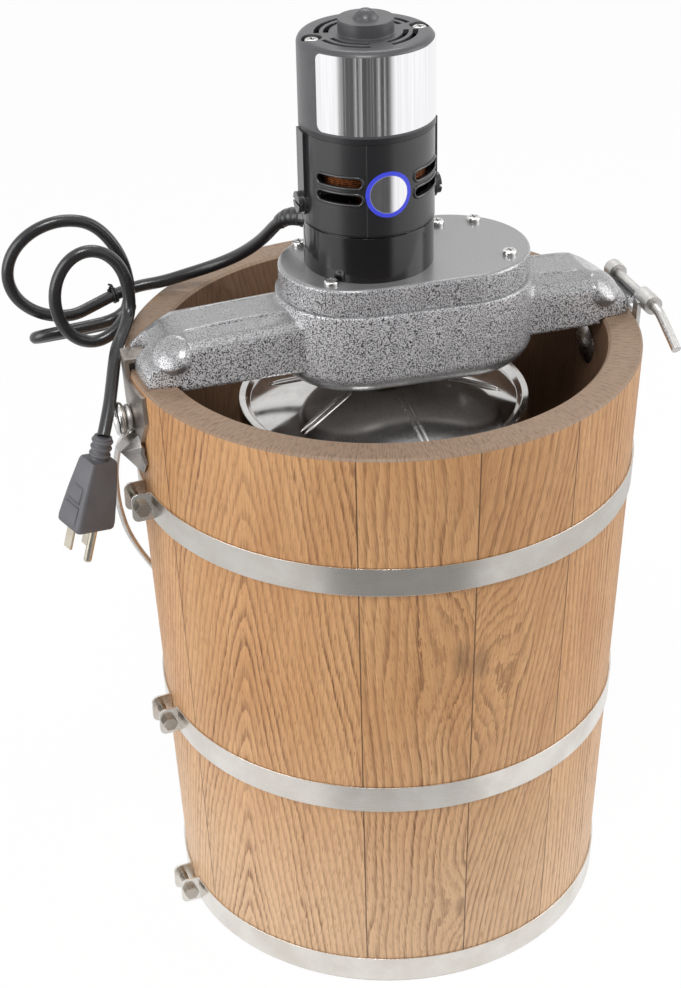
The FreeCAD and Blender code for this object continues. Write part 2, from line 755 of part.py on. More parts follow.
def make_arm(side):
    """One arm: a low ridge on top, a blunt end that falls to the rim, and a domed boss on each side of it."""
    end_ridge = H + d.arm_end_rise
    fall = d.arm_end_rise - d.nose_rise
    out = FOOT_END - SLOPE_START
    rings = [arm_ring(side * d.arm_half_width, d.arm_half_width, H + d.arm_root_rise)]
    for way, drop, narrower in NOSE:
        rings.append(arm_ring(side * (SLOPE_START + way * out), d.arm_half_width - narrower,
                              end_ridge - drop * fall))
    arm = skinned(rings)
    beyond = inner_at(H) - d.foot_clearance
    below = V(0, 0, H - 2 * d.arm_drop)
    over_rim = Part.makeCylinder(H, 2 * d.arm_drop, below)
    within = Part.makeCylinder(beyond, 2 * d.arm_drop, below)
    arm = arm.common(Part.makeCylinder(FOOT_END, 2 * H)).cut(over_rim.cut(within))
    slope = math.degrees(math.atan2(fall, out))
    dome = (d.arm_boss_radius ** 2 + d.arm_boss_height ** 2) / (2 * d.arm_boss_height)
    for hand in (-1, 1):
        normal = V(side * sin(slope), hand * sin(slope) / 2, cos(slope)).normalize()
        seat = V(side * (SLOPE_START + out / 3), hand * d.arm_boss_aside, end_ridge - fall / 3)
        seat = seat - normal * d.arm_boss_height
        ball = Part.makeSphere(dome, seat - normal * (dome - d.arm_boss_height))
        sunk = seat - normal * d.arm_boss_height
        arm = arm.fuse(ball.common(Part.makeCylinder(dome, dome, sunk, normal)))
    if side < 0:
        notch = block(-2 * H, d.keeper_reach + d.keeper_gap - outer_at(H), d.keeper_front - d.keeper_gap,
                      d.keeper_back + d.keeper_gap, FOOT_TOP, 2 * H)
        arm = arm.cut(notch)
    return arm


def make_frame():
    """The gear head's lower half: a rounded bowl for the gears, with an arm to each side of the rim."""
    bowl = head_prism(-d.head_flange, H - d.head_drop, SPLIT)
    bowl = bowl.makeFillet(d.head_round, level_edges(bowl, H - d.head_drop))
    tongue = block(FOOT_START, LATCH_X + d.latch_rod_radius, -d.tongue_half_width, d.tongue_half_width,
                   H, FOOT_TOP)
    frame = bowl.fuse([make_arm(-1), make_arm(1), tongue])
    pocket = d.head_wall - d.gear_plate_fit
    frame = frame.cut(head_prism(pocket, PLATE_UNDER, SPLIT + 2 * d.head_wall))
    hollow = head_prism(pocket + d.gear_plate_ledge, HEAD_FLOOR, PLATE_UNDER)
    posts = [Part.makeCylinder(d.screw_boss_radius, SPLIT - HEAD_FLOOR, V(x, y, HEAD_FLOOR))
             for x, y in COVER_SCREWS]
    posts.append(Part.makeCylinder(BUSH_RADIUS + d.bush_wall, FOOT_TOP - HEAD_FLOOR, V(0, 0, HEAD_FLOOR)))
    posts.append(Part.makeCylinder(2 * d.arbor_radius, OUTPUT_UNDER - d.gear_side_gap - HEAD_FLOOR,
                                   V(REDUCTION_X, 0, HEAD_FLOOR)))
    frame = frame.cut(hollow).fuse(posts)
    hole_base = HEAD_TOP - d.cover_screw_length
    holes = [Part.makeCylinder(d.cover_screw_radius, d.cover_screw_length, V(x, y, hole_base))
             for x, y in COVER_SCREWS]
    holes.append(Part.makeCylinder(BUSH_RADIUS, H, V(0, 0, H - 2 * d.head_drop)))
    holes.append(Part.makeCylinder(d.arbor_radius, H, V(REDUCTION_X, 0, HEAD_FLOOR - d.head_floor / 2)))
    place("gear_frame", frame.cut(holes).removeSplitter())


def make_cover():
    """The gear head's lid, which carries the motor and clamps the gear plate."""
    cover = head_prism(0, SPLIT, HEAD_TOP)
    cover = cover.makeFillet(d.cover_round, level_edges(cover, HEAD_TOP))
    under = HEAD_TOP - d.cover_plate
    cover = cover.cut(head_prism(d.head_wall, SPLIT - d.head_wall, under))
    posts = [Part.makeCylinder(d.screw_boss_radius, under - SPLIT, V(x, y, SPLIT)) for x, y in COVER_SCREWS]
    boss_base = WHEEL_TOP + d.gear_side_gap
    posts.append(Part.makeCylinder(2 * d.arbor_radius, under - boss_base, V(REDUCTION_X, 0, boss_base)))
    cover = cover.fuse(posts)
    holes = [Part.makeCylinder(d.cover_screw_radius, H, V(x, y, H)) for x, y in COVER_SCREWS]
    holes.append(Part.makeCylinder(d.arbor_radius, under - H, V(REDUCTION_X, 0, H)))
    holes.append(Part.makeCylinder(2 * d.motor_shaft_radius, H, V(MOTOR_X, 0, H)))
    place("gear_cover", cover.cut(holes).removeSplitter())
    plate = head_prism(d.head_wall, PLATE_UNDER, SPLIT)
    posts = [Part.makeCylinder(d.screw_boss_radius + d.gear_plate_fit, H, V(x, y, H))
             for x, y in COVER_SCREWS]
    socket = d.dasher_square / 2 + d.dog_gap
    posts.append(block(-socket, socket, -socket, socket, H, 2 * H))
    posts.append(Part.makeCylinder(d.wheel_hub_radius + d.gear_side_gap, H, V(REDUCTION_X, 0, H)))
    place("gear_plate", plate.cut(posts))


def pan_screw(base, length):
    """A pan-head screw with a cross recess, its head's seat at a point."""
    head = Part.makeCylinder(d.screw_head_radius, d.screw_head_height, base)
    head = head.makeFillet(d.screw_head_height / 2, level_edges(head, base.z + d.screw_head_height))
    shank = Part.makeCylinder(d.cover_screw_radius, length, base - UP * length)
    half = d.screw_head_radius * 0.6
    slit = d.screw_head_radius / 8
    low = base.z + d.screw_head_height / 2
    high = base.z + 2 * d.screw_head_height
    recess = [block(base.x - half, base.x + half, base.y - slit, base.y + slit, low, high),
              block(base.x - slit, base.x + slit, base.y - half, base.y + half, low, high)]
    return head.fuse(shank).cut(recess)


def make_gears():
    """Two reductions: motor pinion to wheel, then the wheel's own pinion to the output gear on the can."""
    place("cover_screws", Part.makeCompound(
        [pan_screw(V(x, y, HEAD_TOP), d.cover_screw_length) for x, y in COVER_SCREWS]))
    bush = turned("output_bush", [
        ("hub_radius + shaft_run_gap", "tub_height - head_drop"),
        ("hub_radius + shaft_run_gap + bush_wall", "tub_height - head_drop"),
        ("hub_radius + shaft_run_gap + bush_wall", "tub_height + foot_height"),
        ("hub_radius + shaft_run_gap + bush_wall + bush_flange", "tub_height + foot_height"),
        ("hub_radius + shaft_run_gap + bush_wall + bush_flange",
         "tub_height + foot_height + bush_flange_thickness"),
        ("hub_radius + shaft_run_gap", "tub_height + foot_height + bush_flange_thickness"),
    ])
    keep(bush, "output_bush")
    arbor_base = HEAD_FLOOR - d.head_floor / 2
    arbor = Part.makeCylinder(d.arbor_radius, HEAD_TOP - d.cover_plate - arbor_base,
                              V(REDUCTION_X, 0, arbor_base))
    place("reduction_arbor", arbor)
    bore = d.arbor_radius + d.shaft_run_gap
    wheel = gear(d.wheel_teeth, 180, WHEEL_UNDER, d.wheel_width, d.wheel_hub_radius)
    wheel.translate(V(REDUCTION_X, 0, 0))
    place("reduction_wheel", wheel)
    pinion_top = OUTPUT_TOP + d.gear_side_gap
    pinion = gear(d.pinion_teeth, 180, OUTPUT_UNDER, pinion_top - OUTPUT_UNDER, bore)
    neck = Part.makeCylinder(d.wheel_hub_radius, WHEEL_TOP - pinion_top, V(0, 0, pinion_top))
    pinion = pinion.fuse(neck.cut(Part.makeCylinder(bore, H, V(0, 0, H))))
    pinion.translate(V(REDUCTION_X, 0, 0))
    place("reduction_pinion", pinion.removeSplitter())
    motor_pinion = gear(d.pinion_teeth, 180 / d.pinion_teeth, WHEEL_UNDER - d.gear_side_gap,
                        d.wheel_width + 2 * d.gear_side_gap, d.motor_shaft_radius)
    motor_pinion.translate(V(MOTOR_X, 0, 0))
    place("motor_pinion", motor_pinion)
    output = gear(d.output_teeth, 180 / d.output_teeth, OUTPUT_UNDER, d.output_width, d.hub_bore)
    hub = Part.makeCylinder(d.hub_radius, OUTPUT_UNDER - LID_HUB_TOP, V(0, 0, LID_HUB_TOP))
    dogs = block(-d.dog_length / 2 + d.dog_gap, d.dog_length / 2 - d.dog_gap,
                 -d.dog_width / 2 + d.dog_gap, d.dog_width / 2 - d.dog_gap,
                 LID_HUB_TOP - d.dog_depth + d.dog_gap, LID_HUB_TOP)
    dogs = dogs.common(Part.makeCylinder(d.hub_radius, H, V(0, 0, LID_HUB_TOP - d.dog_depth)))
    output = output.fuse([hub, dogs]).cut(Part.makeCylinder(d.hub_bore, H, V(0, 0, CAN_TOP)))
    place("output_gear", output.removeSplitter())


# can and dasher
def make_can():
    wall = "can_radius - can_wall"
    base = "floor_rise + floor_thickness + can_base_rise"
    top = "tub_height - can_rim_drop"
    keep(turned("can_body", [
        ("pivot_pin_radius - 2 * can_wall", base),
        ("can_radius - can_corner", base),
        ("can_radius", base + " + can_corner"),
        ("can_radius", top),
        (wall, top),
        (wall, base + " + can_corner + can_wall / 2"),
        ("can_radius - can_corner - can_wall / 2", base + " + can_wall"),
        ("pivot_pin_radius - 2 * can_wall", base + " + can_wall"),
    ]), "can_body")
    lid = revolved([
        (d.hub_bore + d.lid_fit, CAN_TOP + d.lid_crown),
        (d.lid_hub_radius + d.lid_bead, CAN_TOP + d.lid_crown),
        (d.can_radius - 2 * d.lid_bead, CAN_TOP),
        (d.can_radius + d.lid_fit, CAN_TOP),
        (d.can_radius + d.lid_fit, CAN_TOP - d.lid_skirt),
        (d.can_radius + d.lid_fit + d.lid_thickness, CAN_TOP - d.lid_skirt),
        (d.can_radius + d.lid_fit + d.lid_thickness, LID_TOP + d.lid_bead),
        (d.can_radius - d.lid_bead, LID_TOP + d.lid_bead),
        (d.can_radius - 2 * d.lid_bead, LID_TOP),
        (d.lid_hub_radius + d.lid_bead, LID_TOP + d.lid_crown),
        (d.lid_hub_radius, LID_TOP + d.lid_crown + d.lid_thickness),
        (d.lid_hub_radius, LID_HUB_TOP),
        (d.hub_bore + d.lid_fit, LID_HUB_TOP),
    ])
    rim = [edge for edge in level_edges(lid, LID_TOP + d.lid_bead)
           if edge.BoundBox.XMax > d.can_radius - 2 * d.lid_bead]
    lid = lid.makeFillet(d.lid_thickness, rim)
    slot = block(-d.dog_length / 2, d.dog_length / 2, -d.dog_width / 2, d.dog_width / 2,
                 LID_HUB_TOP - d.dog_depth, LID_HUB_TOP + d.dog_depth)
    slot = slot.common(Part.makeCylinder(d.hub_radius + d.dog_gap, 2 * H))
    place("can_lid", lid.cut(slot))
    pin_base = base + " - can_base_rise + 2"
    keep(turned("can_pivot", [
        ("0", pin_base),
        ("pivot_pin_radius", pin_base),
        ("pivot_pin_radius", base),
        ("pivot_pin_radius - 2 * can_wall", base),
        ("pivot_pin_radius - 2 * can_wall", base + " + can_wall"),
        ("pivot_pin_radius", base + " + can_wall"),
        ("pivot_pin_radius", base + " + 3 * can_wall"),
        ("pivot_pin_radius / 2", base + " + 3 * can_wall"),
        ("pivot_pin_radius / 2", base + " + can_base_rise"),
        ("0", base + " + can_base_rise"),
    ]), "can_pivot")
    floor = "floor_rise + floor_thickness"
    keep(turned("pivot_seat", [
        ("0", floor),
        ("seat_radius", floor),
        ("seat_radius", floor + " + 3"),
        ("pivot_pin_radius + 3", floor + " + 6"),
        ("pivot_pin_radius + pivot_pin_gap", floor + " + 6"),
        ("pivot_pin_radius + pivot_pin_gap", floor + " + 2 - pivot_pin_gap"),
        ("0", floor + " + 2 - pivot_pin_gap"),
    ]), "pivot_seat")


def make_dasher():
    """A cast paddle frame with a square head that the gear plate holds still, and two wooden scrapers."""
    bottom = CAN_BASE + 3 * d.can_wall + d.pivot_pin_gap
    square_base = OUTPUT_TOP + d.gear_side_gap
    square_top = SPLIT + d.gear_side_gap
    stem = Part.makeCylinder(d.dasher_stem_radius, square_base - bottom, V(0, 0, bottom))
    half = d.dasher_square / 2
    square = block(-half, half, -half, half, square_base, square_top)
    square = square.common(Part.makeCylinder(d.dasher_stem_radius, 2 * H))
    bar = d.dasher_bar / 2
    edge = CAN_BORE - d.scraper_gap
    side = edge - 2 * d.dasher_bar
    low = CAN_BASE + 2 * d.dasher_bar
    high = CAN_TOP - 2 * d.dasher_bar
    bars = []
    for z in (low, (low + high) / 2, high):
        bars.append(block(-side - bar, side + bar, -bar, bar, z - bar, z + bar))
    for turn in (-1, 1):
        bars.append(block(turn * side - bar, turn * side + bar, -bar, bar, low, high))
    bore = Part.makeCylinder(d.pivot_pin_radius / 2 + d.pivot_pin_gap, d.can_base_rise, V(0, 0, bottom))
    dasher = stem.fuse([square] + bars).cut(bore)
    place("dasher", dasher.removeSplitter())
    scrapers = []
    half = d.scraper_thickness / 2
    tip = math.sqrt(edge ** 2 - half ** 2)
    for turn in (-1, 1):
        near = turn * (side + bar)
        far = turn * tip
        scraper = block(min(near, far), max(near, far), -half, half, low - bar, high + bar)
        edges = [item for item in scraper.Edges
                 if abs(item.BoundBox.XMin - far) < TINY and item.BoundBox.XLength < TINY
                 and item.BoundBox.YLength < TINY]
        scrapers.append(scraper.makeChamfer(half / 2, edges[:1]))
    place("dasher_scrapers", Part.makeCompound(scrapers))


# motor
def make_motor_case():
    """Three moulded shells: a base, a vented middle and a capped top."""
    wall = d.motor_wall
    inner = d.bearing_radius + wall
    bearing_base = HEAD_TOP + wall
    bearing_top = bearing_base + d.bearing_height
    base = revolved([
        (d.motor_shaft_radius + 1, HEAD_TOP),
        (d.motor_base_radius, HEAD_TOP),
        (d.motor_base_radius, MIDDLE_BASE - 1),
        (d.motor_base_radius - 1, MIDDLE_BASE - 1),
        (d.motor_base_radius - 1, MIDDLE_BASE),
        (d.motor_base_radius - wall, MIDDLE_BASE),
        (d.motor_base_radius - wall, HEAD_TOP + wall),
        (inner, HEAD_TOP + wall),
        (inner, bearing_top),
        (d.bearing_radius, bearing_top),
        (d.bearing_radius, bearing_base),
        (d.motor_shaft_radius + 1, bearing_base),
    ], axis_x=MOTOR_X)
    bearing = math.radians(d.gland_angle)
    out = V(math.cos(bearing), math.sin(bearing), 0)
    axis = V(MOTOR_X, 0, HEAD_TOP + d.gland_rise)
    base = base.cut(rod(d.cord_radius, axis + out * inner, axis + out * 2 * d.motor_base_radius))
    place("motor_base", base)
    radius = d.motor_middle_radius
    middle = revolved([
        (radius - wall, MIDDLE_BASE), (radius, MIDDLE_BASE), (radius, TOP_BASE), (radius - wall, TOP_BASE),
    ], axis_x=MOTOR_X)
    ribs = []
    for bearing in SIDE_ANGLES:
        turn = FreeCAD.Placement(V(MOTOR_X, 0, 0), FreeCAD.Rotation(UP, bearing))
        rib = block(radius - wall / 2, radius + d.rib_proud, -d.rib_half_width, d.rib_half_width,
                    BRUSH_Z, TOP_BASE)
        boss = rod(d.brush_cap_radius + wall / 2, V(radius - wall / 2, 0, BRUSH_Z),
                   V(radius + d.rib_proud, 0, BRUSH_Z))
        pad = rib.fuse(boss).removeSplitter()
        pad.Placement = turn
        ribs.append(pad)
    middle = middle.fuse(ribs)
    cuts = []
    for bearing in SIDE_ANGLES:
        cap = rod(d.brush_cap_radius, V(0, 0, BRUSH_Z), V(2 * radius, 0, BRUSH_Z))
        cap.Placement = FreeCAD.Placement(V(MOTOR_X, 0, 0), FreeCAD.Rotation(UP, bearing)) * cap.Placement
        cuts.append(cap)
    vent_half = d.vent_height / 2
    end_angle = math.degrees(math.asin(vent_half / radius))
    straight = d.vent_sweep_angle - 2 * end_angle
    for bearing in VENT_ANGLES:
        for step in (0, 1):
            z = MIDDLE_BASE + d.vent_rise + step * d.vent_pitch
            cuts.append(revolved([
                (radius - 2 * wall, z), (radius + wall, z),
                (radius + wall, z + d.vent_height), (radius - 2 * wall, z + d.vent_height),
            ], straight, bearing, MOTOR_X))
            for side in (-1, 1):
                end = bearing + side * straight / 2
                out = V(cos(end), sin(end), 0)
                axis = V(MOTOR_X, 0, z + vent_half)
                cuts.append(rod(vent_half, axis + out * (radius - 2 * wall), axis + out * (radius + wall)))
    place("motor_middle", middle.cut(cuts).removeSplitter())
    radius = d.motor_top_radius
    seat = MOTOR_TOP - wall - d.bearing_height
    top = revolved([
        (0, MOTOR_TOP - wall), (d.bearing_radius, MOTOR_TOP - wall), (d.bearing_radius, seat), (inner, seat),
        (inner, MOTOR_TOP - wall), (radius - wall, MOTOR_TOP - wall), (radius - wall, TOP_BASE),
        (radius, TOP_BASE), (radius, MOTOR_TOP),
        (d.motor_boss_radius, MOTOR_TOP), (d.motor_boss_radius, MOTOR_TOP + d.motor_boss_height),
        (0, MOTOR_TOP + d.motor_boss_height),
    ], axis_x=MOTOR_X)
    edges = [edge for edge in level_edges(top, MOTOR_TOP) if edge.BoundBox.XLength > radius]
    top = top.makeFillet(d.motor_top_round, edges)
    dome_top = MOTOR_TOP + d.motor_boss_height
    curve = (d.motor_dome_radius ** 2 + d.motor_dome_height ** 2) / (2 * d.motor_dome_height)
    dome = Part.makeSphere(curve, V(MOTOR_X, 0, dome_top + d.motor_dome_height - curve))
    dome = dome.common(Part.makeCylinder(d.motor_dome_radius, H, V(MOTOR_X, 0, dome_top)))
    notches = []
    screws = []
    for bearing in SIDE_ANGLES:
        x = MOTOR_X + d.cap_screw_circle * cos(bearing)
        sink = MOTOR_TOP - d.cap_pocket_depth
        notches.append(Part.makeCylinder(d.cap_pocket_radius, H, V(x, 0, sink)))
        notches.append(Part.makeCylinder(d.cover_screw_radius, H, V(x, 0, sink - 2 * wall)))
        screws.append(pan_screw(V(x, 0, sink), 2 * wall))
    for bearing in CAP_SLOT_ANGLES:
        for ring in (0, 1):
            outer = d.cap_slot_radius - ring * d.cap_slot_pitch
            notches.append(revolved([
                (outer - d.cap_slot_width, MOTOR_TOP - 2 * wall), (outer, MOTOR_TOP - 2 * wall),
                (outer, MOTOR_TOP + wall), (outer - d.cap_slot_width, MOTOR_TOP + wall),
            ], d.cap_slot_sweep_angle, bearing, MOTOR_X))
    place("motor_top", top.fuse(dome).cut(notches).removeSplitter())
    place("cap_screws", Part.makeCompound(screws))


def make_motor_works():
    """Stator and windings in the case, the armature on its shaft, brushes, bearings and fan."""
    wall = d.motor_wall
    axis = V(MOTOR_X, 0, 0)
    shaft_base = WHEEL_UNDER - d.gear_side_gap
    shaft_top = MOTOR_TOP - wall - d.gear_side_gap
    shaft = Part.makeCylinder(d.motor_shaft_radius, shaft_top - shaft_base, axis + UP * shaft_base)
    place("armature_shaft", shaft)
    bearings = []
    for base in (HEAD_TOP + wall, MOTOR_TOP - wall - d.bearing_height):
        bearings.append(revolved([
            (d.motor_shaft_radius + d.shaft_run_gap, base), (d.bearing_radius, base),
            (d.bearing_radius, base + d.bearing_height),
            (d.motor_shaft_radius + d.shaft_run_gap, base + d.bearing_height),
        ], axis_x=MOTOR_X))
    place("motor_bearings", Part.makeCompound(bearings))
    core = revolved([
        (d.motor_shaft_radius, CORE_BASE - d.winding_height / 2),
        (d.core_radius * 0.8, CORE_BASE - d.winding_height / 2),
        (d.core_radius * 0.8, CORE_BASE), (d.core_radius, CORE_BASE), (d.core_radius, CORE_TOP),
        (d.core_radius * 0.8, CORE_TOP), (d.core_radius * 0.8, CORE_TOP + d.winding_height / 2),
        (d.motor_shaft_radius, CORE_TOP + d.winding_height / 2),
    ], axis_x=MOTOR_X)
    place("armature_core", core)
    half = d.brush_cap_radius
    place("commutator", revolved([
        (d.motor_shaft_radius, BRUSH_Z - half), (d.commutator_radius, BRUSH_Z - half),
        (d.commutator_radius, BRUSH_Z + half), (d.motor_shaft_radius, BRUSH_Z + half),
    ], axis_x=MOTOR_X))
    fan_base = CORE_TOP + 2 * d.winding_height
    fan = revolved([
        (d.motor_shaft_radius, fan_base), (d.fan_radius, fan_base), (d.fan_radius, fan_base + 1),
        (2 * d.motor_shaft_radius, fan_base + 1), (2 * d.motor_shaft_radius, fan_base + d.fan_height),
        (d.motor_shaft_radius, fan_base + d.fan_height),
    ], axis_x=MOTOR_X)
    blades = []
    for step in range(8):
        blade = block(1.5 * d.motor_shaft_radius, d.fan_radius, -0.6, 0.6,
                      fan_base + 0.5, fan_base + d.fan_height)
        blade.Placement = FreeCAD.Placement(axis, FreeCAD.Rotation(UP, 45 * step))
        blades.append(blade)
    place("motor_fan", fan.fuse(blades).removeSplitter())
    bore = d.core_radius + d.air_gap
    rim = d.motor_middle_radius - wall - d.lid_fit
    stator = revolved([
        (bore, CORE_BASE), (rim, CORE_BASE), (rim, CORE_TOP), (bore, CORE_TOP),
    ], axis_x=MOTOR_X)
    slot_sweep = 24.0
    coil_in = bore + 1.5
    coil_out = rim - 1.5
    slots = []
    coils = []
    for pole in (-90.0, 90.0):
        legs = []
        for lean in (-1, 1):
            bearing = pole + lean * 74
            slots.append(revolved([
                (bore - 1, CORE_BASE - 1), (coil_out + d.lid_fit, CORE_BASE - 1),
                (coil_out + d.lid_fit, CORE_TOP + 1), (bore - 1, CORE_TOP + 1),
            ], slot_sweep, bearing, MOTOR_X))
            legs.append(revolved([
                (coil_in, CORE_BASE - 1), (coil_out, CORE_BASE - 1),
                (coil_out, CORE_TOP + 1), (coil_in, CORE_TOP + 1),
            ], slot_sweep - 2, bearing, MOTOR_X))
        ends = []
        for low in (CORE_BASE - d.lid_fit - d.winding_height, CORE_TOP + d.lid_fit):
            high = low + d.winding_height
            ends.append(revolved([
                (coil_in, low + 2), (coil_in + 2, low), (coil_out - 2, low), (coil_out, low + 2),
                (coil_out, high), (coil_in, high),
            ], 148 + slot_sweep - 2, pole, MOTOR_X))
        coils.append(legs[0].fuse([legs[1]] + ends).removeSplitter())
    place("stator", stator.cut(slots))
    place("field_windings", Part.makeCompound(coils))
    caps = []
    brushes = []
    face = d.motor_middle_radius + d.rib_proud
    for bearing in SIDE_ANGLES:
        turn = FreeCAD.Placement(axis, FreeCAD.Rotation(UP, bearing))
        inner_end = d.motor_middle_radius - wall
        cap = rod(d.brush_cap_radius, V(inner_end, 0, BRUSH_Z), V(face + d.brush_cap_proud, 0, BRUSH_Z))
        slot = block(face + d.brush_cap_proud / 2, 2 * face, -d.brush_cap_radius, d.brush_cap_radius,
                     BRUSH_Z - 0.8, BRUSH_Z + 0.8)
        cap = cap.cut(slot)
        brush = block(d.commutator_radius + d.lid_fit, inner_end, -3, 3, BRUSH_Z - 3, BRUSH_Z + 3)
        for piece, group in ((cap, caps), (brush, brushes)):
            piece.Placement = turn * piece.Placement
            group.append(piece)
    place("brush_caps", Part.makeCompound(caps))
    place("carbon_brushes", Part.makeCompound(brushes))


# cord: from the gland down to the rim behind the left arm, three loose loops beside the tub, a tail over the
# rim past the arm's foot, and the plug hanging from it
LEAD = [
    (-48.5, 48.0, 443.0), (-54.5, 64.0, 426.0), (-64.0, 80.0, 411.5), (-77.0, 93.0, 401.0),
    (-92.5, 100.5, 394.5), (-108.0, 104.5, 389.8), (-123.5, 108.0, 387.8), (-138.5, 107.5, 384.5),
    (-152.5, 103.0, 381.5),
]
# each loop: its middle, its long half axis, its short half axis, and how square its ends are
LOOPS = [
    ((-167.5, 97.0, 411.0), (37.5, 0.0, 0.0), (0.0, 0.0, 32.0), 0.0),
    ((-161.0, 95.0, 371.0), (31.0, 1.4, 0.8), (0.0, -10.0, 5.5), 0.05),
    ((-161.0, 58.5, 408.0), (22.5, 0.0, 0.0), (0.0, 0.0, 30.0), 0.0),
]
LOOP_STEPS = 12
LOOP_EASE = 0.2
TAIL = [
    (-139.5, 56.0, 395.5), (-146.5, 43.5, 389.5), (-153.5, 32.0, 386.0), (-158.0, 20.5, 380.5),
    (-162.5, 8.5, 373.0), (-167.5, -3.5, 364.5),
]
PLUG_TOP = (-173.8, -14.0, 354.0)
PLUG_AXIS = V(-0.258, 0.0, -0.966)
PLUG_TURN_ANGLE = 23.6


def loop_points():
    """Points round the loops from the bottom of the first, each turn easing into the next on the right."""
    points = []
    first = LOOP_STEPS // 4
    for step in range(first, LOOP_STEPS * len(LOOPS) + 1):
        turn = step / LOOP_STEPS
        index = min(int(turn + 0.5), len(LOOPS) - 1)
        blend = min(max((turn - index) / (2 * LOOP_EASE) + 0.5, 0), 1)
        ease = blend * blend * (3 - 2 * blend)
        old = LOOPS[max(index - 1, 0)]
        new = LOOPS[index]
        middle, along, across = (V(*a) + (V(*b) - V(*a)) * ease for a, b in zip(old[:3], new[:3]))
        square = old[3] + (new[3] - old[3]) * ease
        angle = -2 * math.pi * turn
        ahead = (1 + square) * math.cos(angle) - square * math.cos(3 * angle)
        aside = (1 + square) * math.sin(angle) + square * math.sin(3 * angle)
        points.append(middle + along * ahead + across * aside)
    return points


def make_cord():
    bearing = math.radians(d.gland_angle)
    out = V(math.cos(bearing), math.sin(bearing), 0)
    axis = V(MOTOR_X, 0, HEAD_TOP + d.gland_rise)
    wall = axis + out * (d.motor_base_radius - d.motor_wall)
    gland_end = axis + out * (d.motor_base_radius + d.gland_length)
    collar = rod(d.gland_radius, axis + out * (d.motor_base_radius + d.lid_fit), gland_end)
    collar = collar.cut(rod(d.cord_radius, wall, gland_end + out))
    place("cord_gland", collar)
    loops = loop_points()
    knee = axis + out * (d.motor_base_radius + d.gland_straight)
    lead = [wall, knee] + [V(*point) for point in LEAD] + [loops[0]]
    tail = [loops[-1]] + [V(*point) for point in TAIL + [PLUG_TOP]]
    place("cord_lead", tube("cord_lead", lead, d.cord_radius))
    place("cord_loops", tube("cord_loops", loops, d.cord_radius))
    check_spread("cord_loops", loops, d.cord_radius, 5 * d.cord_radius)
    place("cord_tail", tube("cord_tail", tail, d.cord_radius))


def make_plug():
    """A moulded plug with a ribbed strain relief, two flat blades and a round ground pin."""
    turn = FreeCAD.Rotation(UP, PLUG_TURN_ANGLE)
    lean = FreeCAD.Rotation(V(0, 0, -1), PLUG_AXIS)
    frame = FreeCAD.Placement(V(*PLUG_TOP), lean * turn)

    def ring(width, depth, z):
        round_off = 0.3 * min(width, depth)
        plate = block(-width / 2, width / 2, -depth / 2, depth / 2, z - 1, z)
        upright = [edge for edge in plate.Edges if edge.BoundBox.ZLength > 0.5]
        plate = plate.makeFillet(round_off, upright)
        return next(face.OuterWire for face in plate.Faces if abs(face.CenterOfMass.z - z) < TINY)

    relief_end = -d.relief_length
    end = relief_end - d.plug_length
    relief = Part.makeCone(d.plug_neck / 2, d.cord_radius + 1, d.relief_length, V(0, 0, relief_end))
    grooves = []
    for step in (1, 2, 3):
        z = relief_end + step * d.relief_length / 4
        grooves.append(Part.makeTorus(d.plug_neck / 2 - 0.12 * step * d.plug_neck / 2 + 0.8, 1.2, V(0, 0, z)))
    body = Part.makeLoft([
        ring(d.plug_neck, d.plug_neck, relief_end),
        ring(0.62 * d.plug_width, 0.7 * d.plug_depth, relief_end - 0.25 * d.plug_length),
        ring(0.9 * d.plug_width, 0.95 * d.plug_depth, relief_end - 0.62 * d.plug_length),
        ring(d.plug_width, d.plug_depth, end),
    ], True, True)
    body = body.fuse(relief.cut(grooves))
    blades = []
    for side in (-1, 1):
        x = side * d.blade_spacing / 2
        blade = block(x - d.blade_thickness / 2, x + d.blade_thickness / 2,
                      -d.blade_width / 2 + d.ground_offset / 3, d.blade_width / 2 + d.ground_offset / 3,
                      end - d.blade_length, end)
        blades.append(blade)
    pin = rod(d.ground_radius, V(0, -2 * d.ground_offset / 3, end),
              V(0, -2 * d.ground_offset / 3, end - d.ground_length))
    tip = level_edges(pin, end - d.ground_length)
    pin = pin.makeFillet(d.ground_radius * 0.6, tip)
    pieces = {"plug_body": body, "plug_blades": Part.makeCompound(blades), "plug_ground": pin}
    for label, piece in pieces.items():
        piece.Placement = frame * piece.Placement
        place(label, piece)


make_staves()
make_floor()
make_hoops()
make_brackets()
make_bail()
make_latch()
make_frame()
make_cover()
make_gears()
make_can()
make_dasher()
make_motor_case()
make_motor_works()
make_cord()
make_plug()

doc.recompute()
for item in doc.Objects:
    if any(state in ("Invalid", "Error") for state in item.State):
        raise RuntimeError(f"{item.Label} failed")
for part in NODES:
    if part.Shape.isNull() or not part.Shape.isValid() or not part.Shape.Solids:
        raise RuntimeError(f"{part.Label} has no valid shape")
os.makedirs("parts", exist_ok=True)
for part in NODES:
    part.Shape.exportStep(f"parts/{part.Label}.step")
print(len(NODES), "sub-parts written")
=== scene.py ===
import math
import bpy
from mathutils import Matrix, Vector


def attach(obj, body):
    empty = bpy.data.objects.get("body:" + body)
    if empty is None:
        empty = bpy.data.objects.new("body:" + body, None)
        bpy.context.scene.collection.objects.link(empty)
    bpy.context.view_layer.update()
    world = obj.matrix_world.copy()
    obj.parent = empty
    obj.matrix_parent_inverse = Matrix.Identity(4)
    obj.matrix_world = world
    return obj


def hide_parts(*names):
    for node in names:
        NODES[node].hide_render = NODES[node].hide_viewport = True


# Dress of the electric ice cream maker: stave tub, gear head, motor, can lid, brackets and mains cord.
# Lengths in the numbers below are millimetres in the part's frame, and pieces are made in metres.

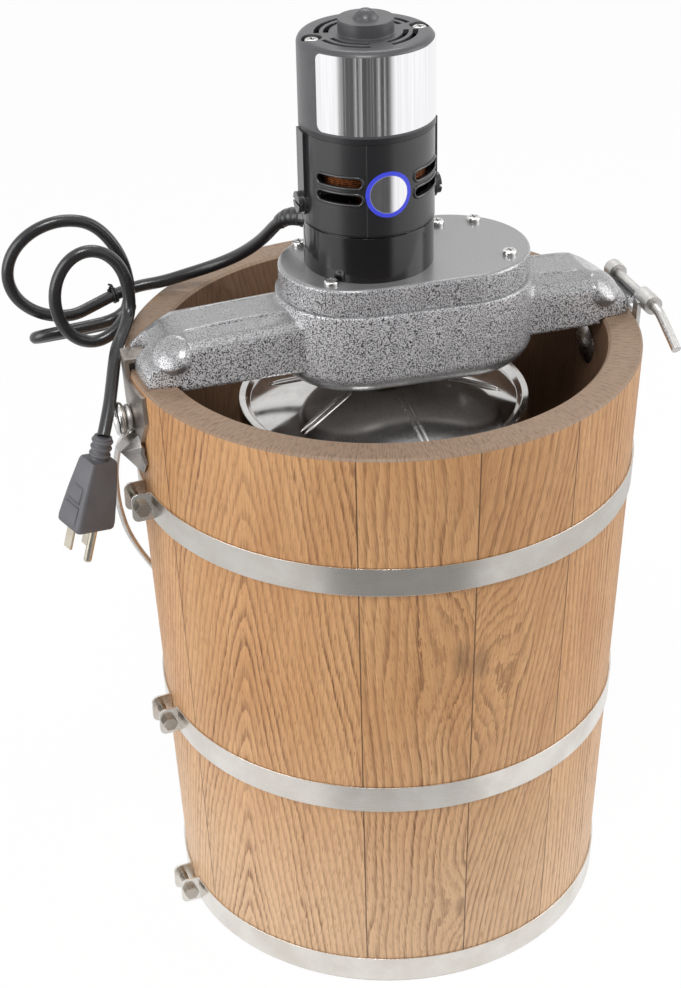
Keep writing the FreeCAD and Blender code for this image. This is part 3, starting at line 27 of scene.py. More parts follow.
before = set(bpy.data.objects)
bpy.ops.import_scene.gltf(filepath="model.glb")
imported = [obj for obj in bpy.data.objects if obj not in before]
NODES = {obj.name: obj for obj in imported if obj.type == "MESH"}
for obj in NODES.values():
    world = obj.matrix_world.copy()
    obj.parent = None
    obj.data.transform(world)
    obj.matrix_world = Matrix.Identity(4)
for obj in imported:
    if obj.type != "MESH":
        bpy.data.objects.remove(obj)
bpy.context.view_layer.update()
SCENE = bpy.context.scene
MM = 0.001

TUB_HEIGHT = 384.0
TUB_TOP_RADIUS = 152.5
TUB_BASE_RADIUS = 136.0
TUB_TAPER = (TUB_TOP_RADIUS - TUB_BASE_RADIUS) / TUB_HEIGHT
STAVE_THICKNESS = 20.0
STAVE_MEAN_RADIUS = 146.0
MOTOR_X = -8.125
MOTOR_TOP_RADIUS = 38.5
MOTOR_MIDDLE_RADIUS = 38.0
MIDDLE_BASE = 462.6
TOP_BASE = 516.9

# camera
CAMERA_PLACE = Vector((-0.3523, -1.0528, 0.9239))
CAMERA_LENS, CAMERA_SENSOR = 75.88, 36.0
CAMERA_TURN, CAMERA_TILT, CAMERA_ROLL = (math.radians(angle) for angle in (-17.1, 59.68, -1.27))

camera = bpy.data.objects.new("camera", bpy.data.cameras.new("camera"))
camera.data.lens = CAMERA_LENS
camera.data.sensor_width = CAMERA_SENSOR
camera.matrix_world = (Matrix.Translation(CAMERA_PLACE) @ Matrix.Rotation(CAMERA_TURN, 4, "Z")
                       @ Matrix.Rotation(CAMERA_TILT, 4, "X") @ Matrix.Rotation(CAMERA_ROLL, 4, "Z"))
SCENE.collection.objects.link(camera)
SCENE.camera = camera


# pieces and materials
def piece(name, data, body="tub"):
    """A new piece of the object that moves with a body."""
    made = bpy.data.objects.new(name, data)
    SCENE.collection.objects.link(made)
    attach(made, body)
    return made


def shell(name, vertices, faces, smooth=True):
    """A mesh of corners in millimetres."""
    mesh = bpy.data.meshes.new(name)
    mesh.from_pydata([tuple(Vector(corner) * MM) for corner in vertices], [], faces)
    mesh.validate()
    if smooth:
        mesh.shade_smooth()
    return mesh


def grid(rows, closed_rows=False, closed_columns=False):
    """Corners and faces of a sheet through rows of as many corners each."""
    width = len(rows[0])
    corners = [corner for row in rows for corner in row]
    faces = []
    for row in range(len(rows) if closed_rows else len(rows) - 1):
        above = (row + 1) % len(rows)
        for column in range(width if closed_columns else width - 1):
            beside = (column + 1) % width
            faces.append((row * width + column, row * width + beside,
                          above * width + beside, above * width + column))
    return corners, faces


def smooth_by_angle(mesh, limit=40.0):
    """Smooth shading, with edges sharper than an angle left crisp."""
    mesh.shade_smooth()
    mesh.set_sharp_from_angle(angle=math.radians(limit))


def joined(name, sheets):
    """One mesh of several (corners, faces) pairs."""
    vertices = []
    faces = []
    for corners, sides in sheets:
        start = len(vertices)
        vertices.extend(corners)
        faces.extend(tuple(start + corner for corner in side) for side in sides)
    return shell(name, vertices, faces)


def swept(path, radius, sides=10, closed=False, flat=1.0, up=(0, 0, 1)):
    """Corners and faces of a round bar along points. Its radius may vary from point to point, and flat is its
    height along up as a share of its width."""
    path = [Vector(place) for place in path]
    radii = radius if isinstance(radius, list) else [radius] * len(path)
    rings = []
    for index, place in enumerate(path):
        before = path[index - 1] if closed or index else path[0]
        after = path[(index + 1) % len(path)] if closed or index + 1 < len(path) else path[-1]
        along = (after - before).normalized()
        aside = along.cross(Vector(up)).normalized()
        rise = aside.cross(along)
        turns = [2 * math.pi * side / sides for side in range(sides)]
        rings.append([place + (aside * math.cos(turn) + rise * (flat * math.sin(turn))) * radii[index]
                      for turn in turns])
    return lofted(rings, closed)


def lofted(rings, closed=False):
    """Corners and faces of a solid through rings of as many corners each, with flat ends unless it is closed."""
    corners, faces = grid(rings, closed, True)
    if not closed:
        width = len(rings[0])
        last = len(corners) - width
        faces.append(tuple(reversed(range(width))))
        faces.append(tuple(last + side for side in range(width)))
    return corners, faces


def on_motor(radius, bearing, z):
    """A point on a cylinder round the motor's axis."""
    turn = math.radians(bearing)
    return (MOTOR_X + radius * math.cos(turn), radius * math.sin(turn), z)


def srgb(red, green, blue):
    """A colour given in screen values from 0 to 255."""
    return tuple(((value / 255 + 0.055) / 1.055) ** 2.4 for value in (red, green, blue))


class Tree:
    """Short calls for the nodes of a material or of the world."""

    def __init__(self, owner):
        owner.use_nodes = True
        self.nodes = owner.node_tree.nodes
        self.links = owner.node_tree.links

    def feed(self, socket, value):
        """Links a socket or sets a plain value."""
        if isinstance(value, bpy.types.NodeSocket):
            self.links.new(value, socket)
        elif isinstance(value, tuple) and len(socket.default_value) == 4:
            socket.default_value = (*value[:3], 1.0)
        else:
            socket.default_value = value

    def add(self, kind, inputs=None, **settings):
        """A new node with its settings and inputs."""
        node = self.nodes.new(kind)
        for name, value in settings.items():
            setattr(node, name, value)
        for name, value in (inputs or {}).items():
            self.feed(node.inputs[name], value)
        return node

    def math(self, operation, *values):
        return self.add("ShaderNodeMath", dict(enumerate(values)), operation=operation).outputs[0]

    def span(self, value, low, high, start=0.0, end=1.0):
        """A value carried smoothly from one range to another and held at its ends."""
        return self.add("ShaderNodeMapRange", {0: value, 1: low, 2: high, 3: start, 4: end},
                        interpolation_type="SMOOTHSTEP").outputs[0]

    def dot(self, vector, direction):
        """How far a vector goes in a direction."""
        return self.add("ShaderNodeVectorMath", {0: vector, 1: direction}, operation="DOT_PRODUCT").outputs["Value"]

    def between(self, share, first, second):
        """A number some share of the way from one to another."""
        return self.add("ShaderNodeMix", {"Factor": share, "A": first, "B": second}).outputs["Result"]


class Surface(Tree):
    """A procedural material, built node by node, with places in millimetres of the part's frame."""

    def __init__(self, name, plain):
        self.material = bpy.data.materials.new(name)
        super().__init__(self.material)
        self.shader = self.nodes["Principled BSDF"]
        place = self.add("ShaderNodeTexCoord").outputs["Object"]
        self.place = self.vector("SCALE", place, Scale=1000.0)
        self.set(plain)

    def set(self, values):
        """Feeds inputs of the shader by name."""
        for name, value in values.items():
            self.feed(self.shader.inputs[name], value)

    def vector(self, operation, *values, **named):
        """A vector operation's result."""
        node = self.add("ShaderNodeVectorMath", {**dict(enumerate(values)), **named}, operation=operation)
        return node.outputs[1 if operation in ("LENGTH", "DOT_PRODUCT", "DISTANCE") else 0]

    def axes(self, vector):
        """The x, y and z of a vector."""
        return self.add("ShaderNodeSeparateXYZ", {0: vector}).outputs

    def join(self, x, y, z):
        """A vector of three values."""
        return self.add("ShaderNodeCombineXYZ", {0: x, 1: y, 2: z}).outputs[0]

    def noise(self, vector, scale, detail=2.0, roughness=0.5):
        """Grey noise."""
        return self.add("ShaderNodeTexNoise", {"Vector": vector, "Scale": scale, "Detail": detail,
                                               "Roughness": roughness}).outputs[0]

    def band(self, value, low, high, soft):
        """1 between two values and 0 outside them."""
        return self.math("MULTIPLY", self.span(value, low - soft, low + soft),
                         self.span(value, high - soft, high + soft, 1.0, 0.0))

    def mix(self, share, first, second):
        """A colour some share of the way from one to another."""
        node = self.add("ShaderNodeMix", {"Factor": share}, data_type="RGBA")
        self.feed(node.inputs[6], first)
        self.feed(node.inputs[7], second)
        return node.outputs[2]

    def ramp(self, value, stops):
        """A colour or grey value along stops of (place, colour)."""
        node = self.add("ShaderNodeValToRGB", {0: value})
        elements = node.color_ramp.elements
        while len(elements) < len(stops):
            elements.new(1.0)
        for element, (place, colour) in zip(elements, stops):
            element.position = place
            element.color = (*colour, 1.0) if isinstance(colour, tuple) else (colour, colour, colour, 1.0)
        return node.outputs[0]

    def normal(self):
        """The x, y and z of the surface's direction."""
        return self.axes(self.add("ShaderNodeNewGeometry").outputs["Normal"])

    def soft_edges(self, radius):
        """The surface's direction with edges rounded to a radius in millimetres."""
        return self.add("ShaderNodeBevel", {"Radius": radius * MM}, samples=8).outputs[0]

    def bump(self, height, depth, base=None):
        """The direction roughened by a height of some depth in millimetres."""
        inputs = {"Height": height, "Distance": depth * MM, "Strength": 1.0}
        if base is not None:
            inputs["Normal"] = base
        return self.add("ShaderNodeBump", inputs).outputs[0]

    def polar(self, axis_x=0.0):
        """Distance from an upright axis, bearing in degrees and height."""
        x, y, z = self.axes(self.place)
        x = self.math("SUBTRACT", x, axis_x)
        radius = self.math("SQRT", self.math("ADD", self.math("MULTIPLY", x, x), self.math("MULTIPLY", y, y)))
        bearing = self.math("DEGREES", self.math("ARCTAN2", y, x))
        return radius, bearing, z

    def give(self, *names):
        """Puts the material on CAD nodes."""
        for name in names:
            NODES[name].data.materials.clear()
            NODES[name].data.materials.append(self.material)


# mains cord: the route's points in millimetres, wall to plug
WALL = (-32.52, 24.40, 452.5)
KNEE = (-43.13, 35.00, 452.5)
LEAD = [
    (-48.5, 48.0, 443.0), (-54.5, 64.0, 426.0), (-64.0, 80.0, 411.5), (-77.0, 93.0, 401.0),
    (-92.5, 100.5, 394.5), (-108.0, 104.5, 389.8), (-123.5, 108.0, 387.8), (-138.5, 107.5, 384.5),
    (-152.5, 103.0, 381.5),
]
LOOPS = [
    ((-167.5, 97.0, 411.0), (37.5, 0.0, 0.0), (0.0, 0.0, 32.0), 0.0),
    ((-161.0, 95.0, 371.0), (31.0, 1.4, 0.8), (0.0, -10.0, 5.5), 0.05),
    ((-161.0, 58.5, 408.0), (22.5, 0.0, 0.0), (0.0, 0.0, 30.0), 0.0),
]
LOOP_STEPS = 12
LOOP_EASE = 0.2
TAIL = [
    (-139.5, 56.0, 395.5), (-146.5, 43.5, 389.5), (-153.5, 32.0, 386.0), (-158.0, 20.5, 380.5),
    (-162.5, 8.5, 373.0), (-167.5, -3.5, 364.5),
]
PLUG_TOP = (-173.8, -14.0, 354.0)
PLUG_AXIS = Vector((-0.258, 0.0, -0.966))
PLUG_TURN = math.radians(23.6)
CORD_RADIUS = 3.75


def loop_points():
    """Points round the loops from the bottom of the first, each turn easing into the next on the right."""
    points = []
    for step in range(LOOP_STEPS // 4, LOOP_STEPS * len(LOOPS) + 1):
        turn = step / LOOP_STEPS
        index = min(int(turn + 0.5), len(LOOPS) - 1)
        share = min(max((turn - index) / (2 * LOOP_EASE) + 0.5, 0), 1)
        ease = share * share * (3 - 2 * share)
        old = LOOPS[max(index - 1, 0)]
        new = LOOPS[index]
        middle, along, across = (Vector(a).lerp(Vector(b), ease) for a, b in zip(old[:3], new[:3]))
        square = old[3] + (new[3] - old[3]) * ease
        angle = -2 * math.pi * turn
        ahead = (1 + square) * math.cos(angle) - square * math.cos(3 * angle)
        aside = (1 + square) * math.sin(angle) + square * math.sin(3 * angle)
        points.append(middle + along * ahead + across * aside)
    return points


def make_cord():
    """The whole cord as one curve from the motor's wall to the plug."""
    route = [WALL, KNEE] + LEAD + loop_points() + TAIL + [PLUG_TOP]
    curve = bpy.data.curves.new("mains_cord", "CURVE")
    curve.dimensions = "3D"
    curve.bevel_depth = CORD_RADIUS * MM
    curve.bevel_resolution = 6
    curve.resolution_u = 10
    curve.use_fill_caps = True
    spline = curve.splines.new("NURBS")
    spline.points.add(len(route) - 1)
    for knot, place in zip(spline.points, route):
        knot.co = (*(Vector(place) * MM), 1.0)
    spline.order_u = 3
    spline.use_endpoint_u = True
    cord = piece("mains_cord", curve, "tub")
    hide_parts("cord_lead", "cord_loops", "cord_tail")
    return cord


PLUG_NECK = 14.0
PLUG_LENGTH = 43.0
PLUG_WIDTH, PLUG_DEPTH = 27.0, 22.0
PLUG_SHOULDER = 0.66
PLUG_WIDENS_TO = 0.8
PLUG_EDGE = 2.4
PLUG_CORNER_STEPS = 6
# where each ring of the neck starts, and a ring's (radius, distance down)
NECK_STARTS = (1.2, 5.4, 9.6)
NECK_RING = ((5.2, 0.0), (6.1, 0.5), (6.4, 1.2), (6.1, 1.9), (5.2, 2.4))
# stations of the block: share of its length, and its size against the plain taper
PLUG_STATIONS = ((0.0, 0.93), (0.03, 0.985), (0.06, 1.0), (0.5, 1.0), (0.9, 1.0), (0.975, 0.99), (1.0, 0.94))
OUTLINE_WIRE = 0.55
# raised lines on the face: (place across, share of the length)
PLUG_OUTLINES = (((-0.26, 0.38), (-0.26, 0.60), (0.28, 0.60)), ((-0.26, 0.38), (0.20, 0.38)),
                 ((-0.28, 0.66), (-0.28, 0.92)), ((-0.28, 0.66), (0.30, 0.66)))


def plug_size(share):
    """The block's size at a share of its length, as a share of its size at the blades."""
    return PLUG_SHOULDER + (1 - PLUG_SHOULDER) * min(1.0, share / PLUG_WIDENS_TO)


def make_plug():
    """The moulded plug: a ringed neck on a block with crisp edges that widens towards the blades, and a raised
    outline on its front."""
    lean = Vector((0, 0, -1)).rotation_difference(PLUG_AXIS).to_matrix()
    turn = lean @ Matrix.Rotation(PLUG_TURN, 3, "Z")

    def put(x, y, z):
        return turn @ Vector((x, y, z)) + Vector(PLUG_TOP)

    def section(width, depth, edge, z):
        """A rectangle with rounded corners."""
        ring = []
        for quarter in range(4):
            hand_x = 1 if quarter in (0, 3) else -1
            hand_y = 1 if quarter in (0, 1) else -1
            for step in range(PLUG_CORNER_STEPS + 1):
                angle = math.pi / 2 * (quarter + step / PLUG_CORNER_STEPS)
                ring.append(put(hand_x * (width / 2 - edge) + edge * math.cos(angle),
                                hand_y * (depth / 2 - edge) + edge * math.sin(angle), z))
        return ring

    def circle(radius, z):
        return section(2 * radius, 2 * radius, radius - 0.001, z)

    rings = [circle(CORD_RADIUS - 0.4, 0.2), circle(5.3, 0.0)]
    for start in NECK_STARTS:
        rings += [circle(radius, -start - down) for radius, down in NECK_RING]
    rings += [circle(5.4, -PLUG_NECK + 0.3)]
    blocks = []
    for share, swell in PLUG_STATIONS:
        size = swell * plug_size(share)
        blocks.append(section(PLUG_WIDTH * size, PLUG_DEPTH * size, PLUG_EDGE * size,
                              -PLUG_NECK - PLUG_LENGTH * share))

    def on_face(across, share):
        size = plug_size(share)
        return put(-PLUG_WIDTH * size / 2, across * PLUG_DEPTH * size, -PLUG_NECK - PLUG_LENGTH * share)

    outlines = [swept([on_face(*corner) for corner in outline], OUTLINE_WIRE, 6, up=(0.3, 0.9, 0.3))
                for outline in PLUG_OUTLINES]
    plug = piece("plug_moulding", joined("plug_moulding", [lofted(rings + blocks)] + outlines), "tub")
    smooth_by_angle(plug.data, 34.0)
    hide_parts("plug_body")
    return plug


plug = make_plug()
cord = make_cord()


# light and ground
CAMERA_SIDE = Vector((-0.42, -0.907, 0.0))
WORLD_LEVEL = 0.39
DARK_LEVEL = 0.16
FLOOR_WHITE = 0.96
FLOOR_HALF = 6.0


def make_world():
    """White to the camera. The room behind the camera is dark, both for what it lights and what metal mirrors."""
    SCENE.world = bpy.data.worlds.new("studio")
    tree = Tree(SCENE.world)
    path = tree.add("ShaderNodeLightPath").outputs
    way = tree.add("ShaderNodeTexCoord").outputs["Generated"]
    towards = tree.dot(way, (CAMERA_SIDE + Vector((0.0, 0.0, 0.30))).normalized())
    lit = tree.math("MULTIPLY", tree.span(towards, 0.45, 0.95, WORLD_LEVEL, 0.6 * WORLD_LEVEL),
                    tree.span(tree.dot(way, (0.0, 0.0, 1.0)), 0.0, 0.9, 1.35, 0.5))
    mirrored = tree.span(towards, 0.62, 0.90, 1.0, DARK_LEVEL)
    seen = tree.math("MAXIMUM", path["Is Camera Ray"], path["Is Transmission Ray"])
    level = tree.between(path["Is Glossy Ray"], tree.between(seen, lit, 1.0), mirrored)
    background = tree.nodes["Background"]
    background.inputs["Color"].default_value = (1.0, 1.0, 1.0, 1.0)
    tree.links.new(level, background.inputs["Strength"])


def soft_box(name, place, target, width, height, watts):
    """A rectangular lamp that faces a target, in metres."""
    light = bpy.data.lights.new(name, "AREA")
    light.shape = "RECTANGLE"
    light.size = width
    light.size_y = height
    light.energy = watts
    box = bpy.data.objects.new(name, light)
    box.location = place
    box.rotation_euler = (Vector(target) - Vector(place)).to_track_quat("-Z", "Y").to_euler()
    SCENE.collection.objects.link(box)


def make_floor():
    """A pale floor that is white to the camera and keeps the object's soft shadow. What metal mirrors of it is painted:
    dark towards the camera as the shade of the room there, with a grey band and pale streaks further out."""
    mesh = bpy.data.meshes.new("floor")
    corners = [(x * FLOOR_HALF, y * FLOOR_HALF, 0) for x, y in ((-1, -1), (1, -1), (1, 1), (-1, 1))]
    mesh.from_pydata(corners, [], [(0, 1, 2, 3)])
    floor = bpy.data.objects.new("floor", mesh)
    SCENE.collection.objects.link(floor)
    material = bpy.data.materials.new("floor")
    tree = Tree(material)
    tree.nodes.remove(tree.nodes["Principled BSDF"])
    path = tree.add("ShaderNodeLightPath").outputs
    place = tree.add("ShaderNodeNewGeometry").outputs["Position"]
    ahead = tree.dot(place, CAMERA_SIDE)
    away = tree.math("MAXIMUM", 0.01, tree.add("ShaderNodeVectorMath", {0: place}, operation="LENGTH").outputs["Value"])
    beside = tree.math("DIVIDE", tree.dot(place, CAMERA_SIDE.cross(Vector((0, 0, 1)))), away)
    # the dark wedge in front of the object, painted shade that only metal mirrors: how far a place is off its middle,
    # and how dark it is there
    off = tree.math("ABSOLUTE", tree.math("SUBTRACT", beside, tree.span(away, 0.65, 1.1, -0.19, -0.05)))
    off = tree.math("SUBTRACT", off, tree.span(away, 0.65, 1.1, 0.0, 0.2))
    gone = tree.math("ADD", tree.span(away, 0.10, 0.46, 0.0, 0.55), tree.span(away, 0.45, 1.10, 0.0, 0.38))
    for part in (tree.span(off, 0.40, 0.57, 1.0, 0.0), tree.span(ahead, 0.0, 0.12, 0.0, 1.0)):
        gone = tree.math("MULTIPLY", gone, part)
    # painted reflection for metal: pale streaks far out, and painted shade that leaves the table a little grey between
    # near and far
    streaks = tree.add("ShaderNodeTexNoise", {"W": beside, "Scale": 8.0, "Detail": 2.0},
                       noise_dimensions="1D").outputs[0]
    streaks = tree.math("MULTIPLY", tree.span(streaks, 0.46, 0.68, 0.0, 0.4), tree.span(away, 1.3, 1.45, 0.0, 1.0))
    gone = tree.math("MULTIPLY", gone, tree.math("SUBTRACT", 1.0, streaks))
    mirrored_grey = tree.math("ADD", tree.span(away, 0.2, 0.6, 1.0, 0.70), tree.span(away, 0.8, 1.1, 0.0, 0.30))
    table = tree.math("MULTIPLY", tree.math("SUBTRACT", 1.0, gone), mirrored_grey)
    matt = tree.add("ShaderNodeBsdfDiffuse", {"Color": (0.9, 0.9, 0.9, 1.0)})
    white = tree.add("ShaderNodeEmission", {"Strength": tree.between(path["Is Glossy Ray"], 1.0, table)})
    seen = tree.math("MAXIMUM", path["Is Camera Ray"], path["Is Glossy Ray"])
    blend = tree.add("ShaderNodeMixShader", {0: tree.math("MULTIPLY", seen, FLOOR_WHITE),
                                             1: matt.outputs[0], 2: white.outputs[0]})
    tree.links.new(blend.outputs[0], tree.nodes["Material Output"].inputs["Surface"])
    mesh.materials.append(material)


make_world()
make_floor()
soft_box("left_box", (-1.7, -0.45, 0.8), (0.0, 0.0, 0.2), 1.3, 1.5, 21.5)
soft_box("right_box", (1.6, -0.55, 1.0), (0.0, 0.0, 0.25), 1.2, 1.8, 21.5)
soft_box("back_box", (0.35, 1.1, 2.0), (0.0, 0.0, 0.42), 1.0, 0.22, 8.0)
soft_box("front_box", (-0.42, -0.95, 2.1), (0.0, 0.0, 0.42), 0.6, 0.5, 19.0)
SCENE.view_settings.view_transform = "Standard"


# wood: screen colours of the face, the figure in it, the painted light at the foot, the painted shade at the head, the
# end grain, the inside and the seams
OAK_FACE, OAK_PALE, OAK_BAND, OAK_STREAK = (198, 149, 100), (211, 165, 116), (172, 122, 77), (184, 133, 88)
OAK_LIT_FOOT, OAK_SHADED_HEAD, OAK_FIGURE, OAK_KNOT = (230, 200, 168), (168, 120, 76), (108, 68, 40), (98, 70, 52)
OAK_END, OAK_END_LINE, OAK_END_SPECK = (148, 124, 103), (108, 87, 71), (106, 84, 66)
OAK_INSIDE, OAK_INSIDE_FIGURE, OAK_SEAM = (120, 92, 71), (86, 62, 46), (66, 42, 26)
# how far the noise moves aside and up from one seed to the next
SEED_ASIDE, SEED_UP = 37.0, 91.0


def oak(name, middle, width, cut, seed, knots=()):
    """Flat-sawn oak round a bearing. The pith runs at a distance aside of the stave's middle, some depth behind
    its face and leaning sideways, and the trunk tapers round it, so the growth rings come out as arches or as
    straight lines. Sway is how far they wander."""
    pith, depth, taper, spacing, tone, lean, figured, sway = cut
    wood = Surface(name, {"Specular IOR Level": 0.34})
    turned = wood.add("ShaderNodeVectorRotate", {"Vector": wood.place, "Angle": math.radians(-middle)},
                      rotation_type="Z_AXIS").outputs[0]
    x, y, z = wood.axes(turned)
    radius = wood.math("SQRT", wood.math("ADD", wood.math("MULTIPLY", x, x), wood.math("MULTIPLY", y, y)))
    aside = wood.math("MULTIPLY", wood.math("ARCTAN2", y, x), STAVE_MEAN_RADIUS)
    outer = wood.math("MULTIPLY_ADD", z, TUB_TAPER, TUB_BASE_RADIUS)
    inward = wood.math("SUBTRACT", outer, radius)
    from_middle = wood.math("SUBTRACT", z, TUB_HEIGHT / 2)
    shifted = wood.join(wood.math("ADD", wood.math("MULTIPLY_ADD", from_middle, -lean, aside), SEED_ASIDE * seed),
                        inward, wood.math("ADD", z, SEED_UP * seed))

    def along(cross, length, detail, roughness=0.55):
        """Noise drawn out along the grain: its sizes across and along in millimetres."""
        drawn = wood.vector("MULTIPLY", shifted, (1 / cross, 1 / cross, 1 / length))
        return wood.noise(drawn, 1.0, detail, roughness)

    wave = wood.math("MULTIPLY_ADD", along(60.0, 130.0, 1.0), sway, -sway / 2)
    ripple = wood.math("MULTIPLY_ADD", along(9.0, 70.0, 2.0), 5.0, -2.5)
    fray = wood.math("MULTIPLY_ADD", along(1.4, 16.0, 2.0), 1.2, -0.6)
    across = wood.math("SUBTRACT", wood.math("MULTIPLY_ADD", from_middle, -lean, aside), pith)
    behind = wood.math("SUBTRACT", depth, inward)
    reach = wood.math("SQRT", wood.math("ADD", wood.math("MULTIPLY", across, across),
                                        wood.math("MULTIPLY", behind, behind)))
    reach = wood.math("MULTIPLY_ADD", from_middle, taper, reach)
    for shift in (wave, ripple, fray):
        reach = wood.math("ADD", reach, shift)
    knot_dark = 0.0
    for knot_aside, knot_z, size in knots:
        gap_x = wood.math("SUBTRACT", aside, knot_aside)
        gap_z = wood.math("MULTIPLY", wood.math("SUBTRACT", z, knot_z), 0.5)
        away = wood.math("SQRT", wood.math("ADD", wood.math("MULTIPLY", gap_x, gap_x),
                                           wood.math("MULTIPLY", gap_z, gap_z)))
        away = wood.math("ADD", away, wood.math("MULTIPLY_ADD", along(3.0, 6.0, 2.0), 5.0, -2.5))
        reach = wood.math("ADD", reach, wood.span(away, 0.0, 5.0 * size, 2.6 * size, 0.0))
        knot_dark = wood.math("MAXIMUM", knot_dark, wood.span(away, 0.2 * size, 1.3 * size, 0.42, 0.0))
    rings = wood.math("DIVIDE", reach, spacing)
    line = wood.ramp(wood.math("FRACT", rings), [(0.0, 0.0), (0.06, 1.0), (0.27, 0.9), (0.46, 0.25), (0.8, 0.0)])
    years = wood.noise(wood.join(rings, 0.0, float(seed)), 0.6, 1.0)
    dashes = wood.span(along(0.8, 15.0, 2.0), 0.36, 0.60)
    pores = wood.span(along(0.55, 8.0, 1.0), 0.57, 0.66)
    # painted sheen: in broad patches the figure is washed out, as where the lamps' reflection fades it
    sheen_washed = wood.span(along(34.0, 120.0, 1.0), 0.30, 0.70, 0.70, 1.0)
    strength = wood.math("MULTIPLY", wood.math("MULTIPLY", wood.span(years, 0.30, 0.70, 0.50, 1.0), sheen_washed), figured)
    figure = wood.math("MULTIPLY", wood.math("MULTIPLY", line, wood.math("MULTIPLY_ADD", dashes, 0.66, 0.30)),
                       strength)
    figure = wood.math("MAXIMUM", figure, wood.math("MULTIPLY", pores, 0.45))
    streak = along(1.1, 40.0, 3.0)
    broad = wood.span(along(26.0, 190.0, 2.0), 0.3, 0.7)

    def toned(colour):
        """A screen colour in this stave's tone."""
        return tuple(value * tone for value in srgb(*colour))

    face = wood.mix(broad, toned(OAK_FACE), toned(OAK_PALE))
    face = wood.mix(wood.span(along(8.0, 110.0, 2.0), 0.50, 0.68, 0.0, 0.45), face, toned(OAK_BAND))
    face = wood.mix(wood.span(streak, 0.35, 0.65, 0.0, 0.5), face, toned(OAK_STREAK))
    # painted light: the face is paler towards the foot, standing for light the floor throws up
    face = wood.mix(wood.span(z, 5.0, 230.0, 0.55, 0.0), face, toned(OAK_LIT_FOOT))
    # painted shade: the face is darker towards the head, against the light that falls on it from above
    face = wood.mix(wood.span(z, 190.0, TUB_HEIGHT, 0.0, 0.25), face, toned(OAK_SHADED_HEAD))
    face = wood.mix(figure, face, toned(OAK_FIGURE))
    face = wood.mix(knot_dark, face, srgb(*OAK_KNOT))
    ticks = wood.noise(wood.join(wood.math("MULTIPLY", aside, 1.1), wood.math("MULTIPLY", inward, 0.16), float(seed)),
                       1.0, 3.0, 0.6)
    speck = wood.span(ticks, 0.46, 0.66, 0.0, 0.65)
    end = wood.mix(wood.math("MULTIPLY", line, 0.14), srgb(*OAK_END), srgb(*OAK_END_LINE))
    end = wood.mix(speck, end, srgb(*OAK_END_SPECK))
    within = wood.mix(figure, srgb(*OAK_INSIDE), srgb(*OAK_INSIDE_FIGURE))
    upward = wood.normal()[2]
    is_end = wood.math("MULTIPLY", wood.span(z, TUB_HEIGHT - 3.5, TUB_HEIGHT - 1.5), wood.span(upward, 0.35, 0.6))
    is_within = wood.span(inward, STAVE_THICKNESS - 2.5, STAVE_THICKNESS - 1.0)
    colour = wood.mix(is_within, face, within)
    colour = wood.mix(is_end, colour, end)
    half = math.radians(width / 2) * STAVE_MEAN_RADIUS
    from_seam = wood.math("SUBTRACT", half, wood.math("ABSOLUTE", aside))
    gap = wood.math("MULTIPLY", wood.span(from_seam, 0.1, 0.6, 0.85, 0.0), wood.span(is_end, 0.0, 1.0, 1.0, 0.3))
    colour = wood.mix(gap, colour, srgb(*OAK_SEAM))
    wood.set({
        "Base Color": colour,
        "Roughness": wood.math("MULTIPLY_ADD", figure, 0.18, 0.42),
        "Normal": wood.bump(wood.math("SUBTRACT", streak, figure), 0.07, wood.soft_edges(0.8)),
    })
    return wood


FIRST_SEAM = -163.5
STAVE_WIDTHS = [49.3, 25.6, 24.8, 31.3, 38.0, 27.0, 35.0, 24.0, 41.0, 26.0, 38.0]
# pith aside, depth behind the face, taper, ring spacing, tone, lean of the pith, strength of the figure, sway
STAVE_CUTS = [
    (-12.0, 3.0, 0.20, 4.6, 0.94, 0.07, 1.0, 9.0), (60.0, 24.0, 0.10, 4.8, 0.95, -0.10, 0.95, 26.0),
    (-60.0, 22.0, -0.04, 4.2, 0.97, 0.16, 0.9, 18.0), (-90.0, 18.0, 0.01, 4.2, 1.03, 0.01, 1.15, 5.0),
    (10.0, 10.0, 0.20, 3.9, 1.0, 0.03, 0.9, 8.0), (58.0, 22.0, -0.03, 3.7, 0.95, -0.02, 0.8, 9.0),
    (-6.0, 9.0, -0.21, 4.0, 1.0, -0.05, 0.95, 7.0), (-62.0, 18.0, 0.02, 3.8, 1.02, 0.01, 0.9, 6.0),
    (12.0, 10.0, 0.19, 4.0, 0.96, 0.06, 0.9, 8.0), (56.0, 20.0, 0.03, 3.7, 1.0, -0.03, 0.8, 9.0),
    (-12.0, 10.0, -0.20, 3.9, 0.98, 0.04, 0.9, 8.0),
]
FLOOR_CUT = (5.0, 10.0, 0.15, 3.8, 1.0, 0.0, 0.9, 8.0)
STAVE_KNOTS = {2: [(25.5, 246.7, 7.0), (30.0, 56.0, 4.5)], 3: [(-27.5, 242.0, 7.0)]}

seam = FIRST_SEAM
for index, (width, cut) in enumerate(zip(STAVE_WIDTHS, STAVE_CUTS), start=1):
    oak(f"oak_{index:02d}", seam + width / 2, width, cut, index, STAVE_KNOTS.get(index, ())).give(f"stave_{index:02d}")
    seam += width
oak("oak_floor", 0.0, 400.0, FLOOR_CUT, 20).give("tub_floor", "dasher_scrapers")


# metals
BRUSHED_SPREAD = 0.12


def steel(name, colour, roughness, grain, edge=0.3):
    """Bare metal with brushing drawn out by a stretch of the place, slight stains and softened edges."""
    metal = Surface(name, {"Metallic": 1.0})
    brushed = metal.noise(metal.vector("MULTIPLY", metal.place, grain), 1.0, 3.0, 0.6)
    stain = metal.noise(metal.place, 0.06, 3.0, 0.6)
    low = tuple(value * 0.82 for value in colour)
    metal.set({
        "Base Color": metal.mix(metal.span(stain, 0.35, 0.65), low, colour),
        "Roughness": metal.math("ADD", metal.span(brushed, 0.3, 0.7, roughness - BRUSHED_SPREAD / 2,
                                                  roughness + BRUSHED_SPREAD / 2),
                                metal.span(stain, 0.4, 0.7, 0.06, 0.0)),
        "Normal": metal.bump(brushed, 0.02, metal.soft_edges(edge)),
    })
    return metal


